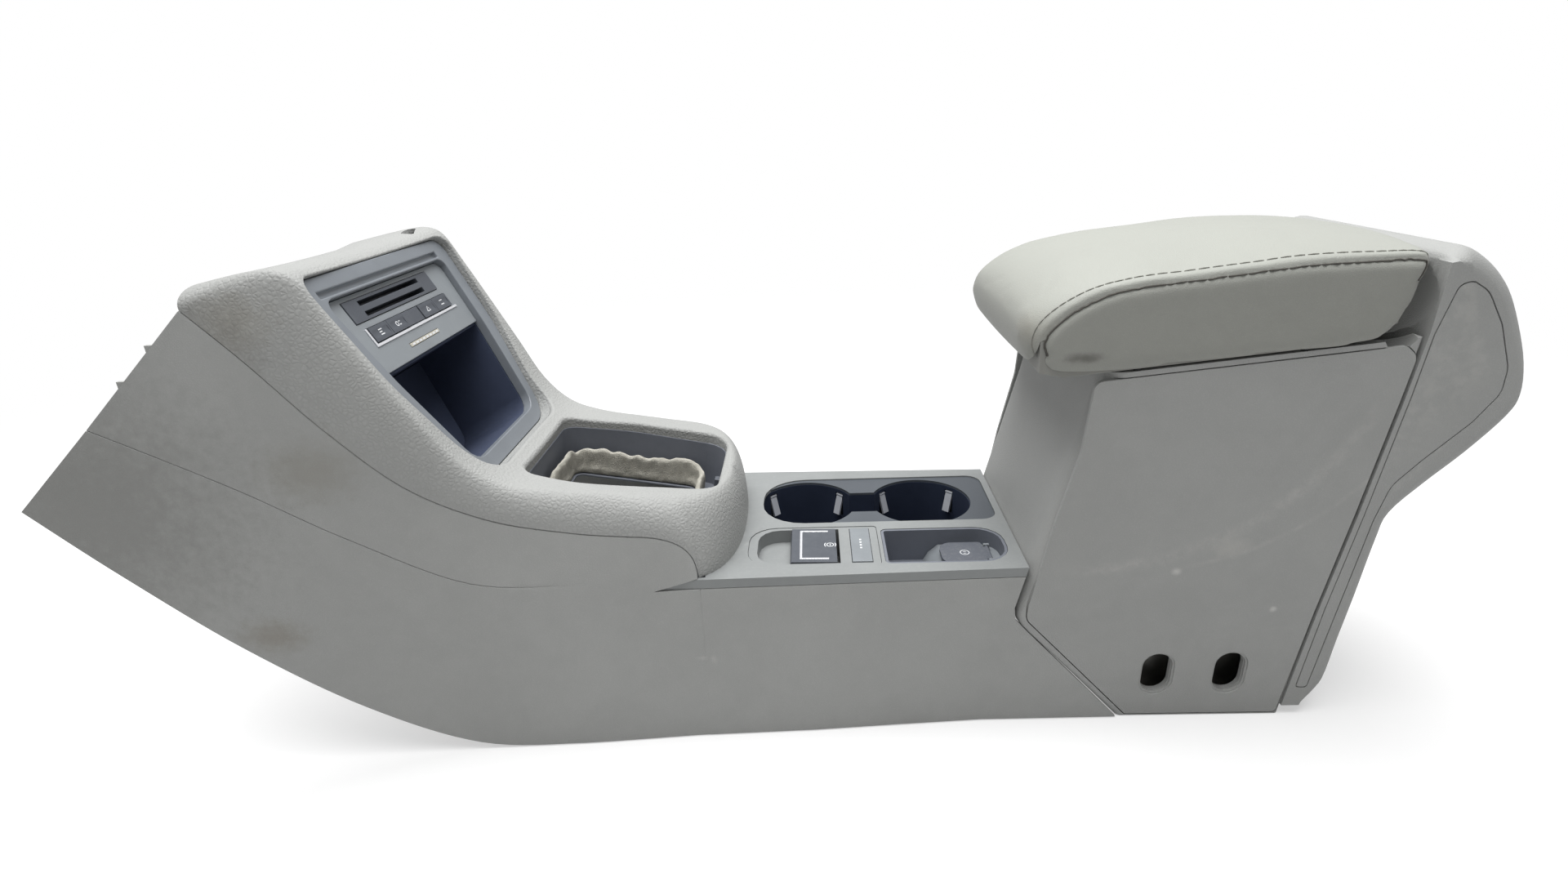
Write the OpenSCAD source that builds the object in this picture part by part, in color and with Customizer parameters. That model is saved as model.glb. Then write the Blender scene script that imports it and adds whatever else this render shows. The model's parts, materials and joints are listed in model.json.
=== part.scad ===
// Center console of a large family car: dash-side storage face, shifter opening,
// cup holder ledge and a padded armrest over a deep bin.
// +X points to the rear of the car, -Y to the driver, +Z up, the floor edge at Z = 0.

/* [Ledge] */
// Height of the flat ledge above the floor edge
ledge_z = 128; // [110:1:150]
// Half width of the ledge beside the shifter nose
ledge_w_front = 89; // [86:0.5:94]
// Half width of the ledge at the bin wall
ledge_w_rear = 83; // [82:0.5:86]
// Height of the lip that the ledge shows over the side panels
lip_h = 7; // [4:0.5:12]
// Thickness of the moulded skins
wall = 3; // [2:0.25:3.5]

/* [Front] */
// Length from the nose of the surround to the tip of the front flanges
front_len = 449; // [430:1:480]
// Rise of the top ridge above the ledge
front_rise = 222; // [200:1:240]
// Most that the front part widens out to each side of the centre
front_flare = 121; // [119:0.5:126]
// Rise of the lower front corner of the side panels above the floor edge
flange_rise = 200; // [180:1:215]
// Depth of the hollow between the two ridges of the surround
ridge_dip = 4.5; // [2:0.25:6]

/* [Storage face] */
// Half width of the bezel at its upper edge
bezel_w_top = 100; // [94:0.5:101]
// Half width of the bezel at its lower edge
bezel_w_bottom = 66; // [60:0.5:68]
// Length of the bezel down the slope
bezel_len = 163; // [155:0.5:166]
// Width of the frame round the storage mouth
bezel_rim = 12; // [9:0.5:15]
// Depth of the storage box behind its mouth
storage_depth = 72; // [50:1:85]
// Length of the switch plate down the slope
plate_len = 55; // [52:0.5:60]
// Depth of the switch plate below the bezel
plate_drop = 5; // [3:0.5:7]
// Width of one key, with the gap beside it
key_pitch = 23.4; // [20:0.1:25]
// Length of a key down the slope
key_len = 10.5; // [9:0.25:12]
// Travel of a key
key_travel = 1.6; // [1:0.1:2.5]
// Width of the two card slots
slot_w = 84; // [76:0.5:90]
// Opening of a card slot
slot_h = 3.4; // [3:0.1:3.8]

/* [Shifter opening] */
// Half width of the opening at its widest
shift_w = 59.8; // [54:0.2:61]
// Length of the opening
shift_len = 136.2; // [126:0.1:137]
// Depth of the liner
shift_depth = 42; // [34:1:46]
// Height of the foam gasket
gasket_h = 22; // [14:0.5:26]

/* [Cup holders] */
// Radius of a cup well
cup_r = 40; // [36:0.5:41]
// Distance between the two cup centres
cup_pitch = 92.5; // [88:0.5:96]
// Depth of the wells
cup_depth = 66; // [50:1:80]
// Width of the channel between the wells
channel_w = 34; // [26:0.5:42]
// Length of a sprung cup grip
grip_len = 17; // [13:0.5:20]
// Width of a cup grip
grip_w = 7; // [5:0.25:9]

/* [Switches and tray] */
// Width of the switch module and of the tray
module_w = 56; // [52:0.5:58]
// Length of the switch module
module_len = 95; // [92:0.5:98]
// Length of the tray
tray_len = 88; // [84:0.5:92]
// Depth of the tray
tray_depth = 26; // [18:0.5:34]
// Inner radius of the power socket
socket_r = 10.5; // [10:0.05:11]
// Depth of the power socket
socket_depth = 36; // [30:0.5:42]

/* [Bin] */
// Height of the bin wall at its front upper corner
bin_h = 266; // [255:1:275]
// Half width of the bin at the floor edge
bin_w_low = 82; // [81:0.5:84]
// Half width of the bin below the armrest
bin_w_top = 90; // [88:0.5:91]
// Depth of the storage space in the bin
bin_depth = 190; // [140:1:215]
// Thickness of the bin liner
liner_t = 2.5; // [1.5:0.25:3]
// Width of the access holes in the side panels
access_w = 24; // [18:0.5:28]
// Height of the access holes
access_h = 37; // [30:0.5:42]
// Radius of the holes in the floor brackets
bolt_r = 4.5; // [3:0.25:5.5]

/* [Armrest] */
// Half width of the armrest
arm_w = 93.5; // [93:0.5:97]
// Crown of the pad over its sewn edge
arm_crown = 13; // [8:0.5:16]
// Radius of the hinge pin
pin_r = 3; // [2.5:0.25:4]

/* [Rear shell] */
// Distance from the armrest hinge to the rearmost point
rear_reach = 112.7; // [108:0.1:120]
// Rounding of the rear shell's edges
rear_round = 14; // [8:0.5:16]

/* [Hidden] */

// Shut lines between panels, and the play of parts that slip into a hole
gap = 0.4;
seam_gap = gap + 0.15;
fit = 0.3;
pin_play = 0.05;
big = 400;

skin_grey = [0.50, 0.51, 0.50];
ledge_grey = [0.62, 0.63, 0.62];
dark_grey = [0.30, 0.32, 0.35];
plate_grey = [0.42, 0.44, 0.46];
well_black = [0.10, 0.12, 0.16];
chrome_tone = [0.82, 0.83, 0.85];
steel_tone = [0.62, 0.63, 0.65];
pad_grey = [0.78, 0.79, 0.75];
foam_beige = [0.70, 0.66, 0.56];

// Small maths
function mix(a, b, t) = a + (b - a) * t;
function unit(v) = v / norm(v);
function cubic(a, b, c, d, t) =
  0.5 * (2 * b + (c - a) * t + (2 * a - 5 * b + 4 * c - d) * t * t + (3 * b - a - 3 * c + d) * t * t * t);
// Smooth curve through a list of points, at t rows from the first
function along(rows, t) =
  let(last = len(rows) - 1, i = min(floor(t), last - 1))
  cubic(rows[max(i - 1, 0)], rows[i], rows[i + 1], rows[min(i + 2, last)], t - i);
function heading(rows, t) = unit(along(rows, min(t + 0.05, len(rows) - 1)) - along(rows, max(t - 0.05, 0)));

// Polygon with each corner rounded by its own radius
function corner_arc(p, c, q, r, n) =
  let(u = unit(p - c), v = unit(q - c), half = acos(u * v) / 2,
      mid = c + unit(u + v) * r / sin(half), a = c + u * r / tan(half) - mid,
      b = c + v * r / tan(half) - mid, start = atan2(a[1], a[0]), stop = atan2(b[1], b[0]),
      sweep = stop - start > 180 ? stop - start - 360 : stop - start < -180 ? stop - start + 360 : stop - start)
  [for (k = [0:n]) mid + r * [cos(start + sweep * k / n), sin(start + sweep * k / n)]];
function rounded(pts, radii, n = 5) =
  [for (i = [0:len(pts) - 1])
    each corner_arc(pts[(i + len(pts) - 1) % len(pts)], pts[i], pts[(i + 1) % len(pts)], radii[i], n)];
function mirrored(half) =
  concat(half, [for (i = [len(half) - 1:-1:0]) [half[i][0], -half[i][1]]]);

// Outline moved out by a distance, square to its edges; below zero where it runs clockwise
function right_of(a, b) = let(d = unit(b - a)) [d[1], -d[0]];
function grown(pts, by) =
  [for (i = [0:len(pts) - 1])
    let(n = len(pts), u = right_of(pts[(i + n - 1) % n], pts[i]), v = right_of(pts[i], pts[(i + 1) % n]))
    pts[i] + (u + v) * by / (1 + u * v)];

// Closed skin over a list of equal rings; rings that run the other way round are turned
function turned(rings) = [for (r = rings) [for (i = [len(r) - 1:-1:0]) r[i]]];
// Keeps a body cut from skins in one piece of mesh
module as_mesh() resize([0, 0, 0]) children();
module skin(rings) {
  n = len(rings[0]);
  m = len(rings);
  sides = [
    for (i = [0:m - 2], k = [0:n - 1]) each [
      [i * n + k, i * n + (k + 1) % n, (i + 1) * n + (k + 1) % n],
      [i * n + k, (i + 1) * n + (k + 1) % n, (i + 1) * n + k]
    ]
  ];
  first = [for (k = [n - 1:-1:0]) k];
  last = [for (k = [0:n - 1]) (m - 1) * n + k];
  polyhedron(points = [for (r = rings) each r], faces = concat(sides, [first, last]), convexity = 8);
}
// Prism on an outline drawn in X and Z, from y0 to y1
module across(y0, y1) translate([0, y1, 0]) rotate([90, 0, 0]) linear_extrude(y1 - y0) children();
module both_sides() {
  children();
  mirror([0, 1, 0]) children();
}
module stadium(w, h) {
  translate([0, (h - w) / 2]) circle(d = w, $fn = 48);
  translate([0, (w - h) / 2]) circle(d = w, $fn = 48);
  square([w, h - w], center = true);
}
module box(x0, x1, y0, y1, z0, z1) translate([x0, y0, z0]) cube([x1 - x0, y1 - y0, z1 - z0]);

// Places along the console
nose_x = -21;
ledge_x0 = -76;
bin_x = 180;
len_k = front_len / 449;
rise_k = front_rise / 222;
flange_k = flange_rise / 200;
flare_k = (front_flare - ledge_w_front) / 32;
// A longer opening for the gear selector pushes what lies ahead of it forwards
drawn_opening = 136.2;
function ahead(r) = r * len_k + (shift_len - drawn_opening) * min(r / 151, 1);
function ledge_w(x) = mix(ledge_w_front, ledge_w_rear, (x - nose_x) / (bin_x - nose_x));

// Front skin, as rows from the dash to the nose: distance from the nose, rise above the ledge,
// half width. The ridge row ends with its place along the seam.
function placed(row) = [nose_x - ahead(row[0]), ledge_z + row[1] * rise_k, ledge_w_front + (row[2] - 89) * flare_k];
seam_rows = [for (row = [
  [312, 202, 111], [281, 170, 113], [245, 123, 110], [207, 80, 103], [161, 52, 95], [110, 39, 90.5],
  [76, 35, 89.5], [55, 33, 89], [39, 27, 88.6], [30, 16, 88], [27, 0, 87]
]) placed(row)];
crease_rows = [for (row = [
  [391, 131, 115.5], [349, 110, 116], [305, 85, 114.5], [251, 48.5, 110], [182, 8, 101.5],
  [114, 1, 95.6], [77, -0.5, 93.4], [56, -1, 92], [39, -1.4, 91.2], [30, -1.7, 90.6], [27, -2, 90]
]) placed(row)];
// The floor edge is measured from the floor up
floor_rows = [for (row = [
  [449, 207, 121], [402, 157, 119], [340, 96, 115.5], [268, 42, 112.4], [194, 5, 107.5],
  [119, 0, 104], [79, 0, 101], [56, 0, 99], [39, 0, 97.6], [30, 0, 97], [27, 0, 97]
]) [nose_x - ahead(row[0]), row[1] * flange_k, ledge_w_front + (row[2] - 89) * flare_k]];
ridge_table = [
  [314, 213, 88, 0], [289, 218, 97, 0.1], [271, 221, 100, 0.27], [256, 221.5, 101, 0.45],
  [244, 215, 101, 0.7], [231, 192, 100.5, 1.15], [219, 170, 99.5, 1.5], [195, 126, 96.5, 2.37],
  [176, 94, 91, 2.95], [153, 74.5, 84, 3.57], [124, 66.5, 77.5, 4.37], [91, 62, 73.5, 5.25],
  [69, 59, 71, 6], [57, 57.5, 69.5, 7], [49, 56.4, 68.5, 8], [43, 55.5, 67.8, 9], [39, 55, 67.2, 10]
];
ridge_rows = [for (row = ridge_table) concat(placed(row), [row[3]])];
nose_depth = 41.3;
nose_crest = [10, 44, 69, 46];
nose_power = 2.5;
nose_start = 0.34;
function nose_round(a) = pow(1 - pow(a, nose_power), 1 / nose_power);

// Section of the front skin between ridge point r and seam point s: [x, z, half width] each.
// turned goes from 0 on the straight flanks to 1 round the nose.
function flank(r, s, turned, a) =
  let(down = 1 - cos(a), out = sin(a), fwd = mix(down, out, turned))
  [mix(r[0], s[0], fwd), mix(r[2], s[2], out), mix(r[1], s[1], down)];
function section(r, s, turned, dip, sink) =
  let(d = unit([s[0] - r[0], s[1] - r[1]]))
  concat(
    [for (a = [90:-15:0]) let(p = flank(r, s, turned, a)) [p[0], -p[1], p[2]]],
    [for (k = [1:5]) let(t = k / 3 - 1, low = dip * (1 - t * t)) [r[0] + d[0] * low, t * r[2], r[1] + d[1] * low]],
    [for (a = [0:15:90]) flank(r, s, turned, a)],
    [[s[0] + (d[0] - 2.2) * sink, s[2], s[1] + d[1] * sink], [s[0] + (d[0] - 2.2) * sink, -s[2], s[1] + d[1] * sink]]
  );
function ridge_in(t, by) =
  let(h = heading([for (p = ridge_rows) [p[0], p[1]]], t), p = along(ridge_rows, t))
  [p[0] + h[1] * by, p[1] - h[0] * by, p[2] - by];
function seam_at(s, by) = let(p = along(seam_rows, s)) [p[0], p[1], p[2] - by];
function nose_ring(a, by, sink) =
  let(w = nose_round(a),
      s = [nose_x - by - (nose_depth - by) * (1 - a), ledge_z, max((ledge_w_front - by) * w, 0.2)],
      crest = mix(55, nose_crest[3] + 4, (a - nose_start) / (1 - nose_start)) - 4 * pow((a - nose_start) / (1 - nose_start), 3),
      r = [nose_x - nose_crest[0] - by - (nose_crest[1] - by) * (1 - a), ledge_z + crest * rise_k - by,
           max((nose_crest[2] - by) * w, 0.15)])
  section(r, s, 1, ridge_dip * w, sink);
// by is 0 on the outside and the wall on the inside
function front_rings(by, sink) =
  let(steps = 2, n = len(ridge_rows) - 1, first = nose_start + by * 0.03)
  concat(
    [for (i = [0:n * steps - 1])
      let(t = i / steps, s = min(max(along(ridge_rows, t)[3], 0), 10), turned = min(max((t - 12) / 4, 0), 1))
      section(ridge_in(t, by), seam_at(s, by), turned, ridge_dip, sink)],
    [for (k = [0:9]) nose_ring(first + (0.9995 - first) * sin(k * 10), by, sink)]
  );
module front_solid() skin(front_rings(0, 0));
module front_hollow() {
  rings = front_rings(wall, 1.4);
  ahead = [for (p = rings[0]) p + [-8, 0, 2]];
  skin(concat([ahead], rings));
}

// Storage face: x runs down the slope, y across, z out of the face
face_top = placed([245.4, 208, 100]);
face_low = placed([166.4, 63.3, 66]);
face_angle = atan2(face_top[1] - face_low[1], face_low[0] - face_top[0]);
face_rise = 6;
module on_face() translate([face_top[0], 0, face_top[1]]) rotate([0, face_angle, 0]) children();
bezel_low = bezel_len - face_rise;
bezel_mid_w = mix(bezel_w_top, bezel_w_bottom, 0.28);
function bezel_outline(grow) =
  rounded(mirrored([[-face_rise - grow, bezel_w_top + grow], [bezel_low * 0.45, bezel_mid_w + 1.5 + grow],
                    [bezel_low + grow, bezel_w_bottom + grow]]), [12, 120, 24, 24, 120, 12], 4);
mouth_top = 10;
mouth_low = bezel_low - bezel_rim;
function mouth_outline(grow) =
  rounded(mirrored([[mouth_top - grow, bezel_w_top - bezel_rim - 4 + grow],
                    [mouth_low * 0.5, bezel_mid_w - bezel_rim - 2 + grow],
                    [mouth_low + grow, bezel_w_bottom - bezel_rim / 2 + grow]]), [7, 120, 16, 16, 120, 7], 4);
seat_h = -9;
plate_h = -1 - plate_drop;
plate_end = mouth_top + plate_len;
module face_prism(pts, h0, h1) on_face() translate([0, 0, h0]) linear_extrude(h1 - h0) polygon(pts);

// Shifter opening: x runs towards the nose along the slope
shift_start = placed([151, 66, 60]);
shift_end = placed([15, 45.2, 60]);
shift_angle = atan2(shift_start[1] - shift_end[1], shift_end[0] - shift_start[0]);
module on_shift() translate([shift_start[0], 0, shift_start[1]]) rotate([0, shift_angle, 0]) children();
function shift_outline(grow) =
  rounded(mirrored([[-grow, shift_w - 5 + grow], [shift_len * 0.38, shift_w + 1 + grow],
                    [shift_len + grow, shift_w - 9 + grow]]), [11, 150, 20, 20, 150, 11], 4);
module shift_prism(grow, h0, h1) on_shift() translate([0, 0, h0]) linear_extrude(h1 - h0) polygon(shift_outline(grow));
rim_h = -4.1;
rim_w = 4.8;

module front_surround() {
  color(skin_grey)
  as_mesh() difference() {
    front_solid();
    difference() {
      front_hollow();
      face_prism(bezel_outline(gap + 4), seat_h - 2.5, 8);
      shift_prism(rim_w, rim_h, 12);
    }
    face_prism(bezel_outline(gap), seat_h, 30);
    face_prism(bezel_outline(-2.3), -30, seat_h + 1.1);
    shift_prism(0, -30, 30);
    translate(corner_recess) rotate([0, -14, 18]) linear_extrude(30, center = true) stadium(9, 26);
  }
}
// Oval recess on the passenger's upper corner
corner_recess = [nose_x - ahead(262), 82, ledge_z + 217 * rise_k];

// Side panels: seam, crease and floor edge joined by a thin wall
lip_z = ledge_z - lip_h;
function panel_ring(top, crease, low) =
  [[top[0], -top[2], top[1]], [crease[0], -crease[2], crease[1]], [low[0], -low[2], low[1]],
   [low[0], -low[2] + wall, low[1]], [crease[0], -crease[2] + wall, crease[1]], [top[0], -top[2] + wall, top[1]]];
function seam_below(s) =
  let(h = heading([for (p = seam_rows) [p[0], p[1]]], s), p = along(seam_rows, s))
  [p[0] + h[1] * seam_gap, p[1] - h[0] * seam_gap, p[2]];
rear_floor_w = [[-48, 97], [29, 93.5], [90, 89], [150, 85], [256, 84]];
function floor_w(x) = lookup(x, rear_floor_w) - 84 + bin_w_low + 2;
function straight_ring(x) =
  let(top = [x, lip_z, ledge_w(x)], low = [x, 0, floor_w(x)], t = 0.04)
  panel_ring(top, [x, mix(lip_z, 0, t), mix(top[2], low[2], t)], low);
lobe_x = seam_rows[10][0];
function grounded(p) = [p[0], max(p[1], 0), p[2]];
module panel_shell() {
  skin(turned(concat(
    [for (i = [0:20]) let(t = i / 2) panel_ring(seam_below(t), along(crease_rows, t), grounded(along(floor_rows, t)))],
    [for (x = [lobe_x + 0.5, -20, 29, 90, 150, 200, 256]) straight_ring(x)]
  )));
}
// Pointed tongue of the ledge trim, drawn in X and Z
function tongue_outline(grow) =
  [[ledge_x0 - 1 - grow * 7, lip_z - grow], [big, lip_z - grow], [big, ledge_z + grow], [lobe_x - 2, ledge_z + grow]];
module side_panel() {
  difference() {
    panel_shell();
    across(-big, 0) polygon(tongue_outline(gap));
    box(lobe_x - 1, big, -big, 0, lip_z, big);
    across(-big, 0) polygon(bin_outline(gap));
    translate([nose_x - ahead(415), -front_flare + 2, 150 * flange_k]) rotate([90, 0, 0]) cylinder(r = 3, h = 12, center = true, $fn = 24);
  }
  // Locating tabs on the front edge
  for (tab = [0.32, 0.62]) {
    p = mix(seam_rows[0], crease_rows[0], tab);
    translate([p[0] - 5, -p[2] + 0.5, p[1] - 5]) cube([8, 2.4, 9]);
  }
}
module side_panel_left() color(skin_grey) side_panel();
module side_panel_right() color(skin_grey) mirror([0, 1, 0]) side_panel();

// Bin: front edge from the floor up, and how far it reaches back
// Bin, lid and rear shell were drawn at this height; up() takes them to the height set above
drawn_h = 266;
function up(z) = z + (bin_h - drawn_h) * min(z / drawn_h, 1);
function risen(rows) = [for (p = rows) [p[0], up(p[1])]];
bin_front = risen([[250, 0], [171.5, 86], [170.4, 96], [179, 130], [205, 225], [212, drawn_h]]);
bin_back = risen([[367.5, 0], [376.5, 91], [385.5, 165], [394, 245], [397.5, drawn_h + 17]]);
top_slope = 0.093;
rest_gap = 1.6;
function bin_top(x) = bin_h + top_slope * (x - 212);
function bin_w(z) = mix(bin_w_low, bin_w_top, z / bin_h);
function swap(rows) = [for (p = rows) [p[1], p[0]]];
function front_x(z) = lookup(z, swap(bin_front));
function back_x(z) = lookup(z, swap(bin_back));
function bin_outline(grow) =
  concat([for (p = bin_front) [p[0] - grow, p[1]]], [[big, bin_h], [big, -1], [250 - grow, -1]]);
// Ring at height f of the way to the top, by inside the outer face
function bin_ring(f, by, low) =
  let(z = f * bin_h, x0 = front_x(z) + by, x1 = back_x(z) - by, w = bin_w(z) - by, r = max(16 - by, 4))
  [for (p = rounded([[x0, -w], [x1, -w], [x1, w], [x0, w]], [r, 3, 3, r], 4))
    [p[0], p[1], low > 0 && f == 0 ? low : f * bin_top(p[0])]];
bin_levels = [for (z = [0, 86, 96, 130, 225, drawn_h]) z / drawn_h];
side_tilt = atan((bin_w_top - bin_w_low) / bin_h);
// Flat frame of the driver-side face: x to the rear, z up, y into the console
module on_side() translate([0, -bin_w_low, 0]) rotate([side_tilt, 0, 0]) children();
panel_rows = [
  [207, bin_top(207) - 4], [203, up(214)], [191, up(163)], [179, up(97)], [178.5, up(87)], [256.5, 1.5], [365, 1.5],
  [374.5, up(91)], [383.5, up(165)], [392, up(245)], [394.5, up(272)], [387, bin_top(387) - 4]
];
panel_radii = [6, 60, 60, 12, 10, 3, 3, 40, 60, 40, 8, 4];
access_x = [275, 326];
access_z = 37.5;
// Circle the closed lid's back end turns in, by place across
hinge_x = 357;
hinge_z = up(306);
lift = 70;
function lid_back_r(t) = 39.5 + 14.5 * (1 - t * t);
module on_hinge() translate([hinge_x, 0, hinge_z]) children();
module hinge_sweep(clear) {
  profile = concat([[0, -arm_w - 1]], [for (k = [-8:8]) [lid_back_r(k / 8) + clear, k / 8 * (arm_w + 1)]], [[0, arm_w + 1]]);
  on_hinge() rotate([90, 0, 0]) rotate([0, 0, -56]) rotate_extrude(angle = 70 + lift, $fn = 72) polygon(profile);
}

module bin_housing() {
  color(skin_grey)
  as_mesh() difference() {
    skin(turned([for (f = bin_levels) bin_ring(f, 0, 0)]));
    difference() {
      skin(turned(concat([for (f = bin_levels) bin_ring(f, 6.5, 6)], [[for (p = bin_ring(1, 6.5, 0)) p + [0, 0, 4]]])));
      on_top() box(338, 410, -100, 100, -shelf_drop - 3, -shelf_drop);
    }
    both_sides() on_side() {
      across(-5, wall) polygon(rounded(grown_panel, panel_radii, 3));
      for (x = access_x) translate([x, 0, access_z]) rotate([90, 0, 0]) linear_extrude(40, center = true) stadium(access_w - 4, access_h - 4);
    }
    hinge_sweep(1.5);
    on_hinge() rotate([90, 0, 0]) cylinder(r = 31.2, h = 2 * (bin_w(hinge_z - 25) - 5.7), center = true, $fn = 72);
    both_sides() for (x = access_x) translate([x + 5, bolt_y, -1]) cylinder(r = bolt_r + 1.5, h = 9, $fn = 32);
  }
}
shelf_drop = 10;
bolt_y = 67;
grown_panel = grown(panel_rows, gap);
module bin_panel() {
  on_side() difference() {
    across(0, wall) polygon(rounded(panel_rows, panel_radii, 3));
    for (x = access_x) translate([x, 0, access_z]) {
      rotate([90, 0, 0]) linear_extrude(40, center = true) stadium(access_w - 3, access_h - 3);
      translate([0, 1, 0]) rotate([90, 0, 0]) linear_extrude(10) stadium(access_w, access_h);
    }
  }
}
module bin_panel_left() color(skin_grey) bin_panel();
module bin_panel_right() color(skin_grey) mirror([0, 1, 0]) bin_panel();

// Tub inside the bin, hung by its flange on the housing
liner_x0 = 224;
liner_x1 = 332;
liner_w = 70;
function liner_outline(grow) =
  rounded([[liner_x0 - grow, -liner_w - grow], [liner_x1 + grow, -liner_w - grow],
           [liner_x1 + grow, liner_w + grow], [liner_x0 - grow, liner_w + grow]], [9, 9, 9, 9] + [1, 1, 1, 1] * grow, 6);
module on_top() translate([212, 0, bin_h]) rotate([0, -atan(top_slope), 0]) translate([-212, 0, 0]) children();
module liner_prism(grow, h0, h1) on_top() translate([0, 0, h0]) linear_extrude(h1 - h0) polygon(liner_outline(grow));
flange_t = 1.2;
module bin_liner() {
  color(dark_grey)
  difference() {
    union() {
      liner_prism(liner_t, -bin_depth - liner_t, flange_t);
      on_top() translate([0, 0, 0]) linear_extrude(flange_t)
        polygon(rounded([[209.5, -84], [338, -84], [338, 84], [209.5, 84]], [9, 4, 4, 9], 5));
    }
    liner_prism(0, -bin_depth, 5);
  }
}
module bin_mat() color([0.20, 0.21, 0.22]) liner_prism(-0.4, -bin_depth, -bin_depth + 2);
module lid_bumpers() {
  color([0.15, 0.15, 0.16])
  both_sides() for (x = [232, 330]) on_top() translate([x, base_w - 3.4, 0]) cylinder(r = 2.4, h = rest_gap - 0.05, $fn = 24);
}

// Armrest: a lid hinged at the back. Profile rows are x and z of the sewn edge and the lower edge.
sewn = risen([
  [165, 279], [162.4, 286.3], [166.5, 295.8], [181.2, 306.3], [203.3, 315.7], [226.4, 319.9], [271.7, 324],
  [316.9, 328.7], [361.5, 330.4], [379.4, 330.7], [387.7, 329.4], [388.8, 324.1], [385.7, 316.7]
]);
lower = risen([
  [381.2, 297.8], [373, 285.5], [360.5, 280], [327.9, 276.9], [280.7, 273.2], [233.4, 269],
  [209.3, 267.2], [184.6, 267.2], [169.4, 270.4]
]);
lid_rows = concat(sewn, lower);
crown_at = [0, 0.25, 0.6, 0.85, 0.95, 1, 1, 0.95, 0.75, 0.6, 0.5, 0.3, 0.1];
back_at = [0, 0, 0, 0, 0, 0, 0, 0, 0.1, 0.55, 1, 1, 0.7, 0.2, 0, 0, 0, 0, 0, 0, 0, 0];
front_at = [1, 1, 1, 0.8, 0.5, 0.2, 0, 0, 0, 0, 0, 0, 0, 0, 0, 0, 0, 0, 0, 0.2, 0.8, 1];
function lid_ring(t) =
  let(full = pow(1 - pow(abs(t), 2.4), 0.5), bow = 1 - t * t, nip = pow(max(abs(t) - 0.78, 0) / 0.22, 2))
  [for (i = [0:len(lid_rows) - 1])
    [lid_rows[i][0] + back_at[i] * 12 * bow + front_at[i] * (10 * nip - 2 * bow), t * arm_w,
     lid_rows[i][1] + (i < len(crown_at) ? crown_at[i] * arm_crown * full : 0)]];
lid_places = [0, 0.3, 0.55, 0.75, 0.87, 0.94, 0.98, 1];
module lid_solid() {
  skin(turned(concat([for (i = [7:-1:1]) lid_ring(-lid_places[i])], [for (t = lid_places) lid_ring(t)])));
}
base_w = arm_w - 3.2;
base_rows = concat(
  [[172, bin_top(172) + 6], [186, bin_top(186) + rest_gap], [340, bin_top(340) + rest_gap]],
  risen([[342, 292], [378, 292], [380, 306], [376, 316], [330, 314], [240, 308], [190, 297], [171, 288]])
);
module armrest_pad() {
  color(pad_grey)
  difference() {
    lid_solid();
    across(-base_w - 0.3, base_w + 0.3) polygon(concat(risen([[160, 240], [345, 240], [345, 262], [392, 262], [382, 290]]),
      [for (k = [5:10]) base_rows[k]], risen([[168, 274], [160, 268]])));
    // Slots that let the back of the lid swing past the fixed ears
    both_sides() box(370, 400, ear_y[0] - ear_room, ear_y[1] + ear_room, up(250), hinge_z + 4);
  }
}
module armrest_base() {
  color(dark_grey)
  difference() {
    across(-base_w, base_w) polygon(base_rows);
    across(-base_w + 6, base_w - 6) polygon(risen([[184, 250], [332, 250], [332, 308], [240, 302], [192, 292], [184, 286]]));
    box(338, 400, -64, 64, up(250), up(330));
  }
}

// Hinge: fixed ears and pin, moving arms
ear_y = [53, 61];
ear_room = 1.5;
arm_y = [40, 52];
module hinge_bracket() {
  color(steel_tone)
  difference() {
    union() {
      on_top() box(341, 374, -62, 62, -shelf_drop, 3 - shelf_drop);
      both_sides() {
        across(ear_y[0], ear_y[1]) polygon([[344, bin_top(344) - shelf_drop + 1], [369, bin_top(369) - shelf_drop + 1], [362, hinge_z], [352, hinge_z]]);
        across(ear_y[0], ear_y[1]) translate([hinge_x, hinge_z]) circle(r = 7, $fn = 48);
      }
    }
    on_hinge() rotate([90, 0, 0]) cylinder(r = pin_r, h = 200, center = true, $fn = 48);
  }
}
module hinge_pin() {
  color(steel_tone)
  on_hinge() rotate([90, 0, 0]) cylinder(r = pin_r, h = 2 * ear_y[1] + 3, center = true, $fn = 48);
}
module hinge_arms() {
  color(steel_tone)
  difference() {
    both_sides() {
      across(arm_y[0], arm_y[1]) translate([hinge_x, hinge_z]) circle(r = 7, $fn = 48);
      across(arm_y[0], arm_y[1]) polygon(risen([[338, 284], [342, 284], [361, 301], [357, 312.5], [338, 312.5]]));
    }
    on_hinge() rotate([90, 0, 0]) cylinder(r = pin_r + pin_play, h = 200, center = true, $fn = 48);
  }
}

// Rear shell: rows down the back from the hump to the floor
rear_x = 398;
function back_to(x) = x < rear_x ? x : rear_x + (x - rear_x) * (rear_reach + hinge_x - rear_x) / (469.7 - rear_x);
function drawn_back(rows) = [for (p = rows) [back_to(p[0]), up(p[1])]];
rear_rows = drawn_back([
  [399, 327], [402, 331.5], [413, 334.4], [428.7, 325], [442.4, 310.4], [454, 290.4], [465.2, 265], [469.7, 243.6],
  [465.2, 227.9], [447.2, 203.7], [427.2, 181.7], [411.5, 161.7], [408.3, 143.6], [405, 99.3], [401.8, 62.4],
  [398.9, 26.7], [388.4, 15.1], [382, 7]
]);
back_seam = drawn_back([[368.5, 7], [377, 91], [386, 165], [394.5, 245], [398, 285]]);
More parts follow.
